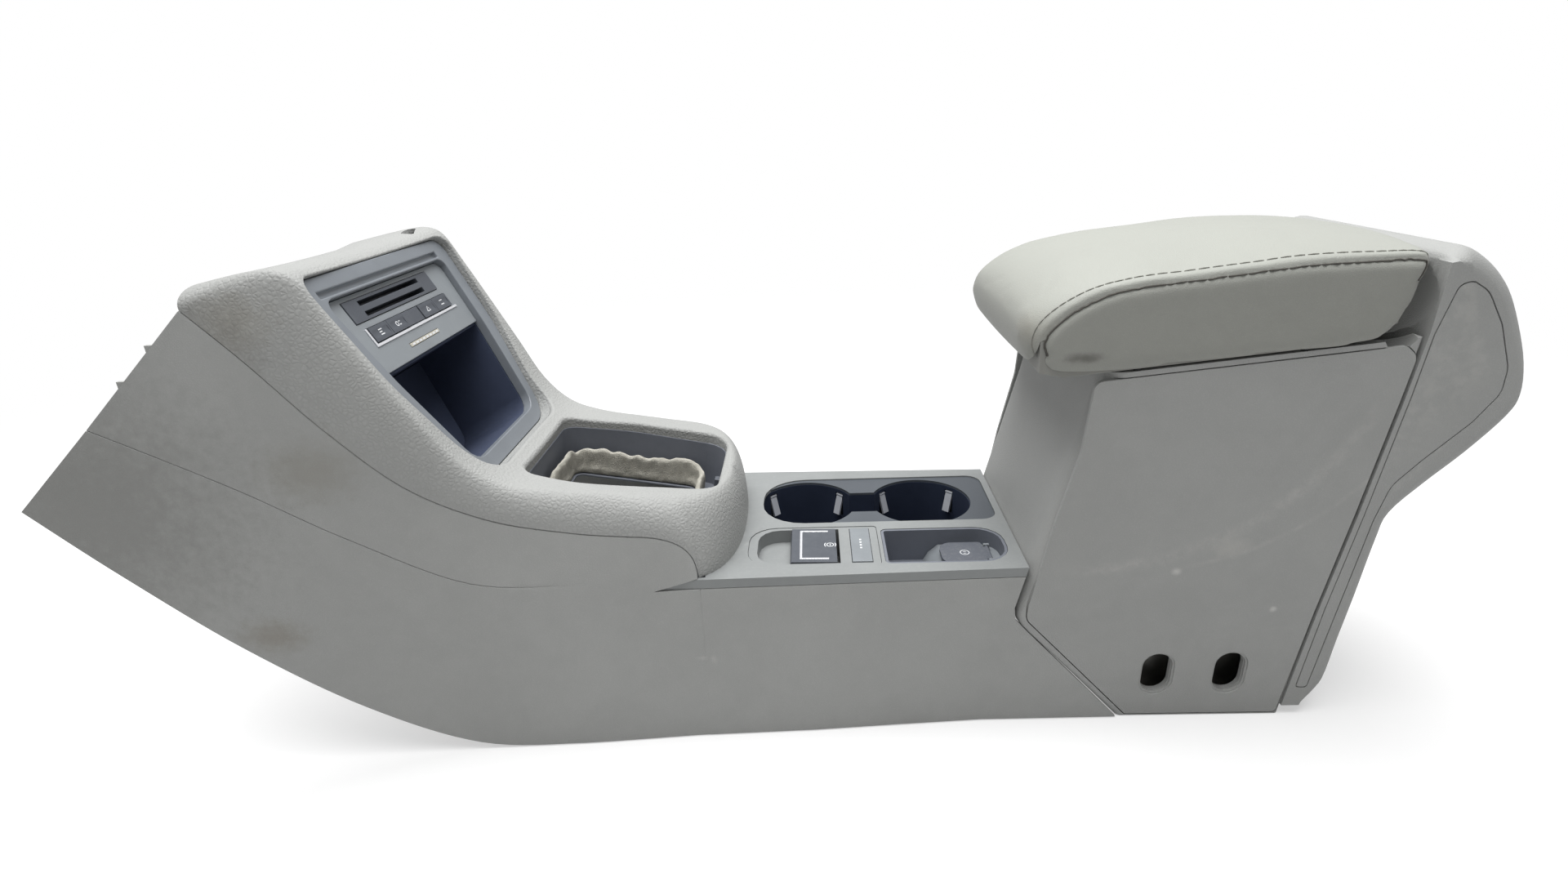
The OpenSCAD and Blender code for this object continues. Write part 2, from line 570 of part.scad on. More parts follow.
// s runs from -1 to 1 across; by is the wall on the inside
function rear_ring(s, by) =
  let(over = max(abs(s) - (1 - rear_round / 85), 0) * 85, e = rear_round - sqrt(max(rear_round * rear_round - over * over, 0)) + by,
      n = len(rear_rows))
  concat(
    [for (i = [0:n - 1])
      let(h = heading(rear_rows, i), k = min(i / 2, 1) * min((n - 1 - i) / 1.5, 1), p = rear_rows[i])
      [p[0] + h[1] * e * k + (i == 0 ? by : 0), s * (bin_w(p[1]) - by), p[1] - h[0] * e * k - (i == 0 ? by : 0)]],
    [for (p = back_seam) [p[0] + (by == 0 ? 0 : p[1] > up(280) ? by : -2), s * (bin_w(p[1]) - by), p[1]]]
  );
rear_places = [0, 0.4, 0.835, 0.88, 0.92, 0.955, 0.98, 0.995, 1];
module rear_solid(by) {
  skin(turned(concat([for (i = [8:-1:1]) rear_ring(-rear_places[i], by)], [for (s = rear_places) rear_ring(s, by)])));
}
cover_rows = drawn_back([
  [407, 314], [413.6, 316], [424, 309.6], [437, 290], [449, 262.4], [450, 246.6], [438.5, 228], [415.7, 203.2],
  [401, 185.3], [396, 160], [389.5, 95], [382.5, 24], [375.5, 24], [381.3, 91], [390, 165], [398, 245], [401, 285]
]);
cover_t = 1.2;
module rear_cover_cut(depth, grow) {
  on_side() across(-4, depth) polygon(grown(cover_rows, -grow));
}
module rear_shell() {
  color(skin_grey)
  as_mesh() difference() {
    rear_solid(0);
    difference() {
      rear_solid(wall);
      hinge_sweep(wall + 0.6);
    }
    hinge_sweep(0.6);
    both_sides() rear_cover_cut(cover_t + 0.05, gap);
    box(390, 480, -34 - gap, 34 + gap, up(40) - gap, up(140) + gap);
  }
}
module rear_cover() {
  as_mesh() intersection() {
    rear_solid(0);
    difference() {
      rear_cover_cut(cover_t, 0);
      hinge_sweep(0.6);
    }
  }
}
module rear_cover_left() color(skin_grey) rear_cover();
module rear_cover_right() color(skin_grey) mirror([0, 1, 0]) rear_cover();
module rear_access_cover() {
  color(dark_grey)
  across(-34, 34) polygon(drawn_back([[396.8, 40], [399.6, 40], [407.5, 140], [404.8, 140]]));
}

// Storage face: a bezel on its seat, with the switch plate over the storage pocket
flange_h = 2;
bezel_back = seat_h;
module mouth_part(grow, x0, x1, h0, h1) {
  on_face() translate([0, 0, h0]) linear_extrude(h1 - h0) intersection() {
    polygon(mouth_outline(grow));
    translate([x0, -big / 2]) square([x1 - x0, big]);
  }
}
module face_box(x0, x1, y0, y1, h0, h1) on_face() translate([x0, y0, h0]) cube([x1 - x0, y1 - y0, h1 - h0]);
module storage_bezel() {
  color(plate_grey)
  difference() {
    face_prism(bezel_outline(0), bezel_back, -1);
    face_prism(mouth_outline(0), -20, 10);
    face_box(3.6, 8, -85, 80, -4, 5);
  }
}
insert_x = mouth_top + 3.7;
insert_len = 16;
insert_w = slot_w + 36;
insert_y = -5;
key_x = mouth_top + 24.4;
key_gap = 0.4;
key_play = 0.3;
bank_w = 5 * key_pitch;
bank_y = -0.5;
lens_x = mouth_top + 45;
housing_h = -28;
module switch_plate() {
  color(plate_grey)
  difference() {
    mouth_part(-gap, mouth_top, plate_end, bezel_back, plate_h);
    face_box(insert_x, insert_x + insert_len, insert_y - insert_w / 2, insert_y + insert_w / 2, -30, 5);
    face_box(key_x - key_play, key_x + key_len + key_play, bank_y - bank_w / 2 - key_play, bank_y + bank_w / 2 + key_play, -30, 5);
    face_box(lens_x, lens_x + 3, -28, 17, -30, 5);
  }
}
module switch_housing() {
  color([0.16, 0.17, 0.19])
  difference() {
    union() {
      mouth_part(2, mouth_top - 6, plate_end - 1, bezel_back - flange_h, bezel_back);
      face_box(mouth_top + 1, plate_end - 5, -78, 76, housing_h, bezel_back - flange_h);
    }
    face_box(insert_x, insert_x + insert_len, insert_y - insert_w / 2, insert_y + insert_w / 2, housing_h + 3, 5);
    face_box(key_x - key_play, key_x + key_len + key_play, bank_y - bank_w / 2 - key_play, bank_y + bank_w / 2 + key_play, housing_h + 3, 5);
  }
}
slot_x = [4, 11.8];
module slot_insert() {
  color(dark_grey)
  difference() {
    face_box(insert_x + 0.3, insert_x + insert_len - 0.3, insert_y - insert_w / 2 + 0.3, insert_y + insert_w / 2 - 0.3, housing_h + 3, plate_h + 0.6);
    for (x = slot_x)
      face_box(insert_x + x - slot_h / 2, insert_x + x + slot_h / 2, insert_y - 1 - slot_w / 2, insert_y - 1 + slot_w / 2, plate_h - 12, 5);
  }
}
function key_y(i) = bank_y + (i - 3) * key_pitch;
key_root = plate_h - 10.4 - key_travel;
module key_body(i, h0) {
  difference() {
    face_box(key_x, key_x + key_len, key_y(i) - key_pitch / 2 + key_gap / 2, key_y(i) + key_pitch / 2 - key_gap / 2, h0, plate_h + 1);
    on_face() translate([key_x + key_len / 2, key_y(i), plate_h + 13]) rotate([90, 0, 0]) cylinder(r = 12.4, h = key_pitch - 4, center = true, $fn = 96);
  }
}
module key_1() color(plate_grey) key_body(1, key_root);
module key_2() color(plate_grey) key_body(2, key_root);
module blank_key() {
  color(plate_grey)
  face_box(key_x, key_x + key_len, key_y(3) - key_pitch / 2 + key_gap / 2, key_y(3) + key_pitch / 2 - key_gap / 2, housing_h + 3, plate_h + 0.4);
}
module key_4() color(plate_grey) key_body(4, key_root);
module key_5() color(plate_grey) key_body(5, key_root);
trim_w = 1.8;
module key_trim() {
  color(chrome_tone) {
    face_box(key_x + key_len + 0.9, key_x + key_len + 0.9 + trim_w, bank_y - bank_w / 2 - 0.9 - trim_w, 63.5, plate_h, plate_h + 0.8);
    face_box(key_x - 0.2, key_x + key_len + 0.9, bank_y - bank_w / 2 - 0.9 - trim_w, bank_y - bank_w / 2 - 0.9, plate_h, plate_h + 0.8);
  }
}
module indicator_lens() {
  color([0.75, 0.72, 0.62])
  face_box(lens_x + 0.2, lens_x + 2.8, -27.8, 16.8, bezel_back, plate_h + 0.3);
}
pocket_x = plate_end;
module storage_box() {
  color(well_black)
  difference() {
    union() {
      face_prism_from(pocket_x - 0.6, bezel_outline(-3), bezel_back - flange_h, bezel_back);
      mouth_part(2, pocket_x - 0.6, big, -storage_depth - 2, bezel_back - flange_h);
    }
    mouth_part(0, pocket_x + 1.6, big, -storage_depth, 5);
  }
}
module face_prism_from(x0, pts, h0, h1) {
  on_face() translate([0, 0, h0]) linear_extrude(h1 - h0) intersection() {
    polygon(pts);
    translate([x0, -big / 2]) square([big, big]);
  }
}
module storage_mat() color([0.13, 0.14, 0.17]) mouth_part(-0.6, pocket_x + 2.2, big, -storage_depth, -storage_depth + 1.5);

// Gear selector opening: liner under the rim, and a foam ring standing on its floor
liner_floor = 2;
module shift_liner() {
  color(dark_grey)
  difference() {
    union() {
      shift_prism(rim_w - 1.2, rim_h - 2, rim_h);
      shift_prism(1.8, -shift_depth, rim_h);
    }
    shift_prism(-0.4, -shift_depth + liner_floor, 5);
    on_shift() translate([0, 0, -60]) linear_extrude(60) polygon(gasket_outline(-8));
  }
}
function gasket_outline(grow) =
  rounded([[6 - grow, -shift_w + 9 - grow], [shift_len - 15 + grow, -shift_w + 12 - grow],
           [shift_len - 15 + grow, shift_w - 12 + grow], [6 - grow, shift_w - 9 + grow]], [14, 16, 16, 14] + [1, 1, 1, 1] * grow, 5);
module shift_gasket() {
  color(foam_beige)
  on_shift() translate([0, 0, -shift_depth + liner_floor]) linear_extrude(gasket_h) difference() {
    polygon(gasket_outline(0));
    polygon(gasket_outline(-8));
  }
}
module gasket_clips() {
  color(dark_grey)
  both_sides() on_shift() translate([shift_len - 14, 24, -shift_depth + liner_floor]) {
    cube([12, 7, 3]);
    translate([7, 0, 0]) cube([5, 7, 17]);
  }
}

// Ledge: plan outline, y across
ledge_t = 3;
cup_x = [25.5, 25.5 + cup_pitch];
cup_y = 26.3;
plate_x0 = cup_x[0] - 34.5;
plate_x1 = cup_x[1] + 54.5;
cup_plate_y = [-10, 70];
module_x0 = -16.5;
bar_w = 3.2;
tray_x0 = module_x0 + module_len + bar_w;
switch_y = [-73.5, -73.5 + module_w];
switch_r = [20, 3, 3, 20];
tray_y = [-73, -23];
module edge_taper(x0, x1, inset, z0, z1) {
  translate([0, 0, z0]) linear_extrude(z1 - z0)
    polygon([[x0, -ledge_w(x0) + inset], [x1, -ledge_w(x1) + inset], [x1, ledge_w(x1) - inset], [x0, ledge_w(x0) - inset]]);
}
function plate_outline(grow) =
  rounded([[plate_x0 - grow, cup_plate_y[0] - grow], [plate_x1 + grow, cup_plate_y[0] - grow],
           [plate_x1 + grow, cup_plate_y[1] + grow], [plate_x0 - grow, cup_plate_y[1] + grow]], [34, 12, 12, 34], 6);
function switch_outline(grow) =
  rounded([[module_x0 - grow, switch_y[0] - grow], [module_x0 + module_len + grow, switch_y[0] - grow],
           [module_x0 + module_len + grow, switch_y[1] + grow], [module_x0 - grow, switch_y[1] + grow]], switch_r, 5);
function tray_outline(grow) =
  rounded([[tray_x0 - grow, tray_y[0] - grow], [tray_x0 + tray_len + grow, tray_y[0] - grow],
           [tray_x0 + tray_len + grow, tray_y[1] + grow], [tray_x0 - grow, tray_y[1] + grow]], [4, 20, 20, 4] + [1, 1, 1, 1] * min(grow, 3), 5);
module plan(pts, z0, z1) translate([0, 0, z0]) linear_extrude(z1 - z0) polygon(pts);
module ledge_panel() {
  color(ledge_grey)
  difference() {
    union() {
      edge_taper(-44, bin_x - 2, 0, ledge_z - ledge_t, ledge_z);
      difference() {
        edge_taper(ledge_x0, bin_x - 2, 0, lip_z, ledge_z);
        edge_taper(ledge_x0 - 1, bin_x, wall, lip_z - 1, ledge_z + 1);
      }
    }
    across(-big, big) polygon([[ledge_x0 - 9, lip_z - 3], [ledge_x0 - 1, lip_z], [lobe_x - 2, ledge_z], [lobe_x - 2, ledge_z + 9], [ledge_x0 - 9, ledge_z + 9]]);
    across(-big, big) polygon(bin_outline(gap));
    plan(plate_outline(fit), 100, 140);
    plan(switch_outline(fit), 100, 140);
    plan(tray_outline(fit), 100, 140);
    box(-50, -31, -62, 62, 100, 140);
  }
}
plate_z = ledge_z - 1;
under_z = ledge_z - ledge_t;
module cup_plate() {
  color(plate_grey)
  difference() {
    plan(plate_outline(0), under_z, plate_z);
    for (x = cup_x) translate([x, cup_y, 100]) cylinder(r = cup_r, h = 60, $fn = 128);
    box(cup_x[0], cup_x[1], cup_y - channel_w / 2, cup_y + channel_w / 2, 100, 140);
  }
}
grip_angle = [45, 135];
module at_grip(i, a) translate([cup_x[i], cup_y, 0]) rotate([0, 0, a]) children();
grip_top = under_z - 5;
module cup_well() {
  color(well_black)
  difference() {
    union() {
      plan(plate_outline(4), under_z - 2, under_z);
      for (x = cup_x) translate([x, cup_y, plate_z - cup_depth]) cylinder(r = cup_r + 2, h = cup_depth - 3, $fn = 128);
      box(cup_x[0], cup_x[1], cup_y - channel_w / 2 - 2, cup_y + channel_w / 2 + 2, plate_z - 24, under_z - 2);
    }
    for (x = cup_x) {
      translate([x, cup_y, plate_z - cup_depth + 2.5]) cylinder(r = cup_r - 0.4, h = cup_depth, $fn = 128);
    }
    box(cup_x[0], cup_x[1], cup_y - channel_w / 2, cup_y + channel_w / 2, plate_z - 22, 140);
    box(plate_x0 - 10, big, switch_y[1] - 80, cup_plate_y[0] - 2, 100, 140);
    for (i = [0, 1], a = grip_angle) at_grip(i, a) {
      box(cup_r - 8, cup_r + 10, -grip_w / 2 - 0.5, grip_w / 2 + 0.5, grip_top - grip_len - 2, grip_top + 2.2);
      translate([cup_r + 1, 0, grip_top]) rotate([90, 0, 0]) cylinder(r = 0.8, h = grip_w + 3, center = true, $fn = 24);
    }
  }
}
grip_lean = 17;
module cup_grip(i, a) {
  color(chrome_tone)
  at_grip(i, a) translate([cup_r + 1, 0, grip_top]) {
    rotate([90, 0, 0]) cylinder(r = 1.5, h = grip_w, center = true, $fn = 24);
    rotate([90, 0, 0]) cylinder(r = 0.75, h = grip_w + 2.4, center = true, $fn = 24);
    rotate([0, grip_lean, 0]) translate([-1, 0.3 - grip_w / 2, -grip_len]) cube([1.8, grip_w - 0.6, grip_len]);
  }
}
module cup_grip_1() cup_grip(0, grip_angle[0]);
module cup_grip_2() cup_grip(0, grip_angle[1]);
module cup_grip_3() cup_grip(1, grip_angle[0]);
module cup_grip_4() cup_grip(1, grip_angle[1]);

// Parking brake switch and hold button in one frame
well_x = [module_x0 + 6.5, module_x0 + 34.5];
rocker_x = [well_x[1], well_x[1] + 32];
hold_x = [module_x0 + 74.5, module_x0 + 89.5];
module_h = 26;
rocker_z = ledge_z - 13;
module switch_frame() {
  color(dark_grey)
  difference() {
    union() {
      plan(switch_outline(0), under_z, ledge_z - 0.5);
      plan(switch_outline(4), under_z - 2, under_z);
      plan(switch_outline(-2), ledge_z - module_h, under_z);
    }
    plan(rounded([[well_x[0], switch_y[0] + 3], [rocker_x[0] + 5, switch_y[0] + 3], [rocker_x[0] + 5, switch_y[1] - 3], [well_x[0], switch_y[1] - 3]], [16, 1, 1, 16], 4), ledge_z - 11, 140);
    box(rocker_x[0], rocker_x[1], switch_y[0] + 3, switch_y[1] - 3, ledge_z - module_h + 2, 140);
    box(hold_x[0], hold_x[1], switch_y[0] + 3, switch_y[1] - 3, ledge_z - module_h + 2, 140);
    across(switch_y[0] + 1.5, switch_y[1] - 1.5) translate([rocker_mid, rocker_z]) circle(r = 2 + pin_play, $fn = 32);
    box(-big, big, -big, -76, 100, 140);
    box(tray_x0 - bar_w / 2 - gap / 2, big, -big, big, 100, under_z);
  }
}
rocker_mid = (rocker_x[0] + rocker_x[1]) / 2;
module brake_switch() {
  color(plate_grey) {
    across(switch_y[0] + 3.5, switch_y[1] - 3.5)
      polygon([[rocker_x[0] + 2, ledge_z - 4], [rocker_x[0] - 4, ledge_z - 2.5], [rocker_x[0] - 3, ledge_z + 0.8],
               [rocker_x[1] - 2.2, ledge_z + 0.2], [rocker_x[1] - 2.8, ledge_z - 14], [rocker_mid, ledge_z - 17], [rocker_x[0] + 2.4, ledge_z - 14]]);
    across(switch_y[0] + 2, switch_y[1] - 2) translate([rocker_mid, rocker_z]) circle(r = 2, $fn = 32);
  }
}
module brake_trim() {
  color(chrome_tone)
  translate([rocker_x[0] - 3, 0, ledge_z + 0.8]) rotate([0, atan(0.6 / 32.8), 0]) {
    box(6, 7.8, switch_y[0] + 7, switch_y[1] - 7, 0, 0.5);
    for (y = [switch_y[0] + 7, switch_y[1] - 8.8]) box(7.8, 27, y, y + 1.8, 0, 0.5);
  }
}
module hold_button() {
  color(plate_grey)
  box(hold_x[0] + 0.35, hold_x[1] - 0.35, switch_y[0] + 3.35, switch_y[1] - 3.35, ledge_z - 14, ledge_z + 0.4);
}

// Tray with the power socket at its back
socket_x = tray_x0 + 58;
socket_y = -47;
tray_floor = ledge_z - tray_depth;
module front_tray() {
  color(dark_grey)
  difference() {
    union() {
      plan(tray_outline(0), under_z, ledge_z - 0.5);
      plan(tray_outline(3), under_z - 2, under_z);
      plan(tray_outline(0), tray_floor - 2, under_z);
    }
    plan(tray_outline(-2), tray_floor, 140);
    translate([socket_x, socket_y, 60]) cylinder(r = socket_r + 2 + fit / 2, h = 60, $fn = 64);
    box(-big, big, -big, -76, 100, 140);
    box(-big, tray_x0 - bar_w / 2 + gap / 2, -big, big, 100, under_z);
  }
}
module tray_lamp() {
  color([0.86, 0.85, 0.80])
  box(tray_x0 + 14, tray_x0 + 26, -62, -58.6, tray_floor, tray_floor + 1.2);
}
deck_z = ledge_z - 11;
module socket_surround() {
  color(plate_grey)
  difference() {
    intersection() {
      plan(tray_outline(-2.3), tray_floor, deck_z);
      across(-90, 0) polygon([[socket_x - 26, tray_floor], [big, tray_floor], [big, deck_z + 2], [socket_x - 15, deck_z - 2], [socket_x - 22, deck_z - 8]]);
    }
    translate([socket_x, socket_y, 60]) cylinder(r = socket_r + 2 + fit / 2, h = 80, $fn = 64);
  }
  color(plate_grey)
  for (y = [-12.2, 9.8]) translate([0, socket_y, 0]) difference() {
    across(y, y + 2.4) polygon([[cap_pivot[0] - 3, deck_z - 3], [cap_pivot[0] + 3, deck_z - 3], [cap_pivot[0] + 2, deck_z + 3.6], [cap_pivot[0] - 2, deck_z + 3.6]]);
    across(y - 1, y + 4) translate(cap_pivot) circle(r = 1.4 + pin_play, $fn = 32);
  }
}
module power_socket() {
  color(steel_tone)
  difference() {
    translate([socket_x, socket_y, deck_z - 2 - socket_depth]) cylinder(r = socket_r + 2, h = socket_depth, $fn = 64);
    translate([socket_x, socket_y, deck_z - socket_depth]) cylinder(r = socket_r, h = socket_depth, $fn = 64);
  }
}
module socket_contact() {
  color(chrome_tone)
  translate([socket_x, socket_y, deck_z - socket_depth]) cylinder(r = 3, h = 6, $fn = 32);
}
cap_pivot = [socket_x + 19, deck_z + 1.6];
// The flap ends short of the lugs that carry its pin
cap_end = cap_pivot[0] - 3.4;
module socket_cap() {
  color([0.13, 0.14, 0.15])
  union() {
    translate([socket_x, socket_y, deck_z - 1.6]) cylinder(r = socket_r - 0.6, h = 2.6, $fn = 64);
    plan(rounded([[socket_x - 16, socket_y - 15], [cap_end, socket_y - 15], [cap_end, socket_y + 15], [socket_x - 16, socket_y + 15]], [9, 3, 3, 9], 5), deck_z + 0.8, deck_z + 3.2);
    translate([cap_pivot[0], socket_y, cap_pivot[1]]) rotate([90, 0, 0]) cylinder(r = 1.4, h = 24, center = true, $fn = 32);
    box(cap_end - 3, cap_pivot[0], socket_y - 9, socket_y + 9, deck_z + 0.8, deck_z + 2.6);
  }
}

// Inner carrier: two webs and cross rails under the ledge, on feet at floor level
module carrier() {
  color([0.22, 0.23, 0.25])
  difference() {
    union() {
      both_sides() {
        box(-120, 166, 76.2, 78.6, 0, 118);
        box(-30, 166, 76.2, 78.6, 0, under_z);
        box(-120, 166, 70, 78.6, 0, 2.5);
      }
      for (x = [-120, -54, 66, 160]) box(x, x + 6, -76.2, 76.2, 0, 46);
    }
    for (x = [-90, -10, 110]) translate([x + 20, 0, 62]) rotate([90, 0, 0]) cylinder(r = 22, h = 300, center = true, $fn = 48);
  }
}
// Feet behind the oval access holes, with one bolt hole each
foot_x = front_x(0) + 12;
module floor_bracket() {
  color(steel_tone)
  difference() {
    union() {
      box(foot_x, 345, 58, 74, 6, 9);
      box(foot_x, 345, 58, 60.5, 9, 60);
      for (x = [foot_x + 2, 300]) box(x, x + 3, 60.5, 73, 9, 52);
    }
    for (x = access_x) translate([x + 5, bolt_y, -5]) cylinder(r = bolt_r, h = 30, $fn = 32);
  }
}
module floor_bracket_left() mirror([0, 1, 0]) floor_bracket();
module floor_bracket_right() floor_bracket();

front_surround();
side_panel_left();
side_panel_right();
storage_bezel();
storage_box();
storage_mat();
switch_plate();
switch_housing();
slot_insert();
key_1();
key_2();
blank_key();
key_4();
key_5();
key_trim();
indicator_lens();
shift_liner();
shift_gasket();
gasket_clips();
ledge_panel();
carrier();
cup_plate();
cup_well();
cup_grip_1();
cup_grip_2();
cup_grip_3();
cup_grip_4();
switch_frame();
brake_switch();
brake_trim();
hold_button();
front_tray();
tray_lamp();
socket_surround();
power_socket();
socket_contact();
socket_cap();
bin_housing();
bin_panel_left();
bin_panel_right();
bin_liner();
bin_mat();
lid_bumpers();
floor_bracket_left();
floor_bracket_right();
rear_shell();
rear_cover_left();
rear_cover_right();
rear_access_cover();
hinge_bracket();
hinge_pin();
hinge_arms();
armrest_base();
armrest_pad();
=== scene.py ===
import json
import math
import bmesh
import bpy
from mathutils import Matrix, Vector, noise
from mathutils.bvhtree import BVHTree

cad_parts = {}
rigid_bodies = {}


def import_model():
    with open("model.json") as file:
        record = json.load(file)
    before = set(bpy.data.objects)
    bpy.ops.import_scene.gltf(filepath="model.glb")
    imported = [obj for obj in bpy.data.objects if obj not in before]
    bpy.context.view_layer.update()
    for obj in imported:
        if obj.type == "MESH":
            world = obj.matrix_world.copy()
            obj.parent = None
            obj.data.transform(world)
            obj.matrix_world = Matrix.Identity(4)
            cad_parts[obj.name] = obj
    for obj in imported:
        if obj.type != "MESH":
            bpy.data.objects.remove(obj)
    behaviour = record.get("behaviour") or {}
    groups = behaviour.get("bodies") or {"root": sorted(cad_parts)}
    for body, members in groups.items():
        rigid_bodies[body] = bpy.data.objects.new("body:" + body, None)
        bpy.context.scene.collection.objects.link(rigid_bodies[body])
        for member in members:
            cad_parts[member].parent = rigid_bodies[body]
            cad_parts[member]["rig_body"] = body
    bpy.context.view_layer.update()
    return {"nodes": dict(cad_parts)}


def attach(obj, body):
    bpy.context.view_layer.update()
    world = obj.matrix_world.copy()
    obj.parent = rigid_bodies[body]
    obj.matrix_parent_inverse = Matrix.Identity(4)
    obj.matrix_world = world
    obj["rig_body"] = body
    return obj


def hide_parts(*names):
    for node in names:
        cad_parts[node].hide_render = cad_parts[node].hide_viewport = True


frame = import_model()
nodes = frame["nodes"]
scene = bpy.context.scene
noise.seed_set(11)      # vector noise is drawn by a seed, so that each run is the same
print("frame loaded,", len(nodes), "nodes")

# Camera, where the photograph was taken from; right, up and back are the axes of its view
photoCamera = {"place": (0.03527, -0.5588, 0.41633), "lens": 18.26, "sensor": 36.0, "nearest": 0.02,
               "right": (0.9988, 0.0272, -0.0415), "up": (0.0284, 0.3722, 0.9277),
               "back": (0.0407, -0.9278, 0.3709)}
cameraData = bpy.data.cameras.new("photoCamera")
cameraData.sensor_width = photoCamera["sensor"]
cameraData.lens = photoCamera["lens"]
cameraData.clip_start = photoCamera["nearest"]
camera = bpy.data.objects.new("photoCamera", cameraData)
scene.collection.objects.link(camera)
cameraAxes = Matrix((photoCamera["right"], photoCamera["up"], photoCamera["back"])).transposed()
cameraTurn = cameraAxes.to_quaternion().to_matrix().to_4x4()
camera.matrix_world = Matrix.Translation(photoCamera["place"]) @ cameraTurn
scene.camera = camera

# Shapes are drawn in millimetres and made in metres
mm = 0.001
metre = 1000.0
asDrawn = Matrix.Identity(4)
mirrorY = Matrix.Diagonal((1, -1, 1, 1))


def mix(a, b, t):
    return a + (b - a) * t


def clamped(value, low, high):
    return min(max(value, low), high)


def alongRows(rows, t):
    # smooth curve through the rows, t rows from the first
    last = len(rows) - 1
    i = min(int(max(t, 0)), last - 1)
    f = t - i
    ends = rows[max(i - 1, 0)], rows[i], rows[i + 1], rows[min(i + 2, last)]
    return [0.5 * (2 * b + (c - a) * f + (2 * a - 5 * b + 4 * c - d) * f ** 2
                   + (3 * b - a - 3 * c + d) * f ** 3) for a, b, c, d in zip(*ends)]


def headingAt(rows, t, step=0.05):
    p = alongRows(rows, max(t - step, 0))
    q = alongRows(rows, min(t + step, len(rows) - 1))
    size = math.hypot(q[0] - p[0], q[1] - p[1])
    return (q[0] - p[0]) / size, (q[1] - p[1]) / size


def lookUp(value, pairs):
    # straight lines between the pairs, level beyond the ends
    if value <= pairs[0][0]:
        return pairs[0][1]
    for (x0, y0), (x1, y1) in zip(pairs, pairs[1:]):
        if value <= x1:
            return mix(y0, y1, (value - x0) / (x1 - x0))
    return pairs[-1][1]


def roundedOutline(points, radii, steps=8):
    outline = []
    for i, point in enumerate(points):
        corner = Vector(point)
        toLast = (Vector(points[i - 1]) - corner).normalized()
        toNext = (Vector(points[(i + 1) % len(points)]) - corner).normalized()
        half = math.acos(clamped(toLast.dot(toNext), -1, 1)) / 2
        middle = corner + (toLast + toNext).normalized() * radii[i] / math.sin(half)
        a = corner + toLast * radii[i] / math.tan(half) - middle
        b = corner + toNext * radii[i] / math.tan(half) - middle
        start = math.atan2(a.y, a.x)
        sweep = (math.atan2(b.y, b.x) - start + math.pi) % (2 * math.pi) - math.pi
        outline += [(middle.x + radii[i] * math.cos(start + sweep * k / steps),
                     middle.y + radii[i] * math.sin(start + sweep * k / steps)) for k in range(steps + 1)]
    return outline


def circleOutline(x, y, r, count):
    turns = [2 * math.pi * k / count for k in range(count)]
    return [(x + r * math.cos(a), y + r * math.sin(a)) for a in turns]


def ovalOutline(width, height, steps=14):
    # half rounds above and below, joined by straight sides
    r = width / 2
    ends = []
    for side in (1, -1):
        for k in range(steps + 1):
            angle = math.pi * k / steps + (0 if side > 0 else math.pi)
            ends.append((r * math.cos(angle), side * (height / 2 - r) + r * math.sin(angle)))
    return ends


def bothHalves(half):
    return half + [(x, -y) for x, y in reversed(half)]


def spaced(outline, pitch, closest=0.05):
    # the same closed outline with points about a pitch apart
    points = []
    for i, a in enumerate(outline):
        b = outline[(i + 1) % len(outline)]
        count = max(1, round(math.dist(a, b) / pitch))
        points += [(mix(a[0], b[0], k / count), mix(a[1], b[1], k / count)) for k in range(count)]
    apart = [points[0]]
    for p in points[1:]:
        if math.dist(p, apart[-1]) > closest:
            apart.append(p)
    return apart


def grownRows(rows, grow):
    # moved out square to the edges; below zero where the rows run clockwise
    grown = []
    for i, row in enumerate(rows):
        a, b, c = Vector(rows[i - 1]), Vector(row), Vector(rows[(i + 1) % len(rows)])
        u, v = [Vector((d.y, -d.x)).normalized() for d in (b - a, c - b)]
        grown.append(tuple(b + (u + v) * grow / (1 + u.dot(v))))
    return grown


# Mesh makers
meshJoin, cutJoin = 1e-6, 2e-6      # how near points are joined, plainly and after cuts


def linked(name, mesh):
    piece = bpy.data.objects.new(name, mesh)
    scene.collection.objects.link(piece)
    return piece


def newPiece(name, points, faces):
    mesh = bpy.data.meshes.new(name)
    mesh.from_pydata([[c * mm for c in p] for p in points], [], faces)
    return tidyMesh(linked(name, mesh))


def tidyMesh(piece, join=meshJoin):
    work = bmesh.new()
    work.from_mesh(piece.data)
    bmesh.ops.remove_doubles(work, verts=work.verts, dist=join)
    bmesh.ops.dissolve_degenerate(work, edges=work.edges, dist=join)
    bmesh.ops.recalc_face_normals(work, faces=work.faces)
    work.to_mesh(piece.data)
    work.free()
    return piece


def skinOver(name, rings, capped=True):
    # rings of equal size joined into a skin; uncapped, the last ring joins the first
    n, m = len(rings[0]), len(rings)
    faces = []
    for i in range(m - 1 if capped else m):
        j = (i + 1) % m
        for k in range(n):
            faces.append((i * n + k, i * n + (k + 1) % n, j * n + (k + 1) % n, j * n + k))
    if capped:
        faces.append(tuple(range(n - 1, -1, -1)))
        faces.append(tuple((m - 1) * n + k for k in range(n)))
    return newPiece(name, [p for ring in rings for p in ring], faces)


def moved(piece, place):
    # a mirrored place turns the faces inside out, so they are turned back
    piece.data.transform(place)
    return tidyMesh(piece) if place.determinant() < 0 else piece


def prism(name, outline, low, high, place=asDrawn):
    return moved(skinOver(name, [[(x, y, z) for x, y in outline] for z in (low, high)]), place)


def slab(name, outline, y0, y1, place=asDrawn):
    # outline in x and z, thick across the console
    return moved(skinOver(name, [[(x, y, z) for x, z in outline] for y in (y0, y1)]), place)


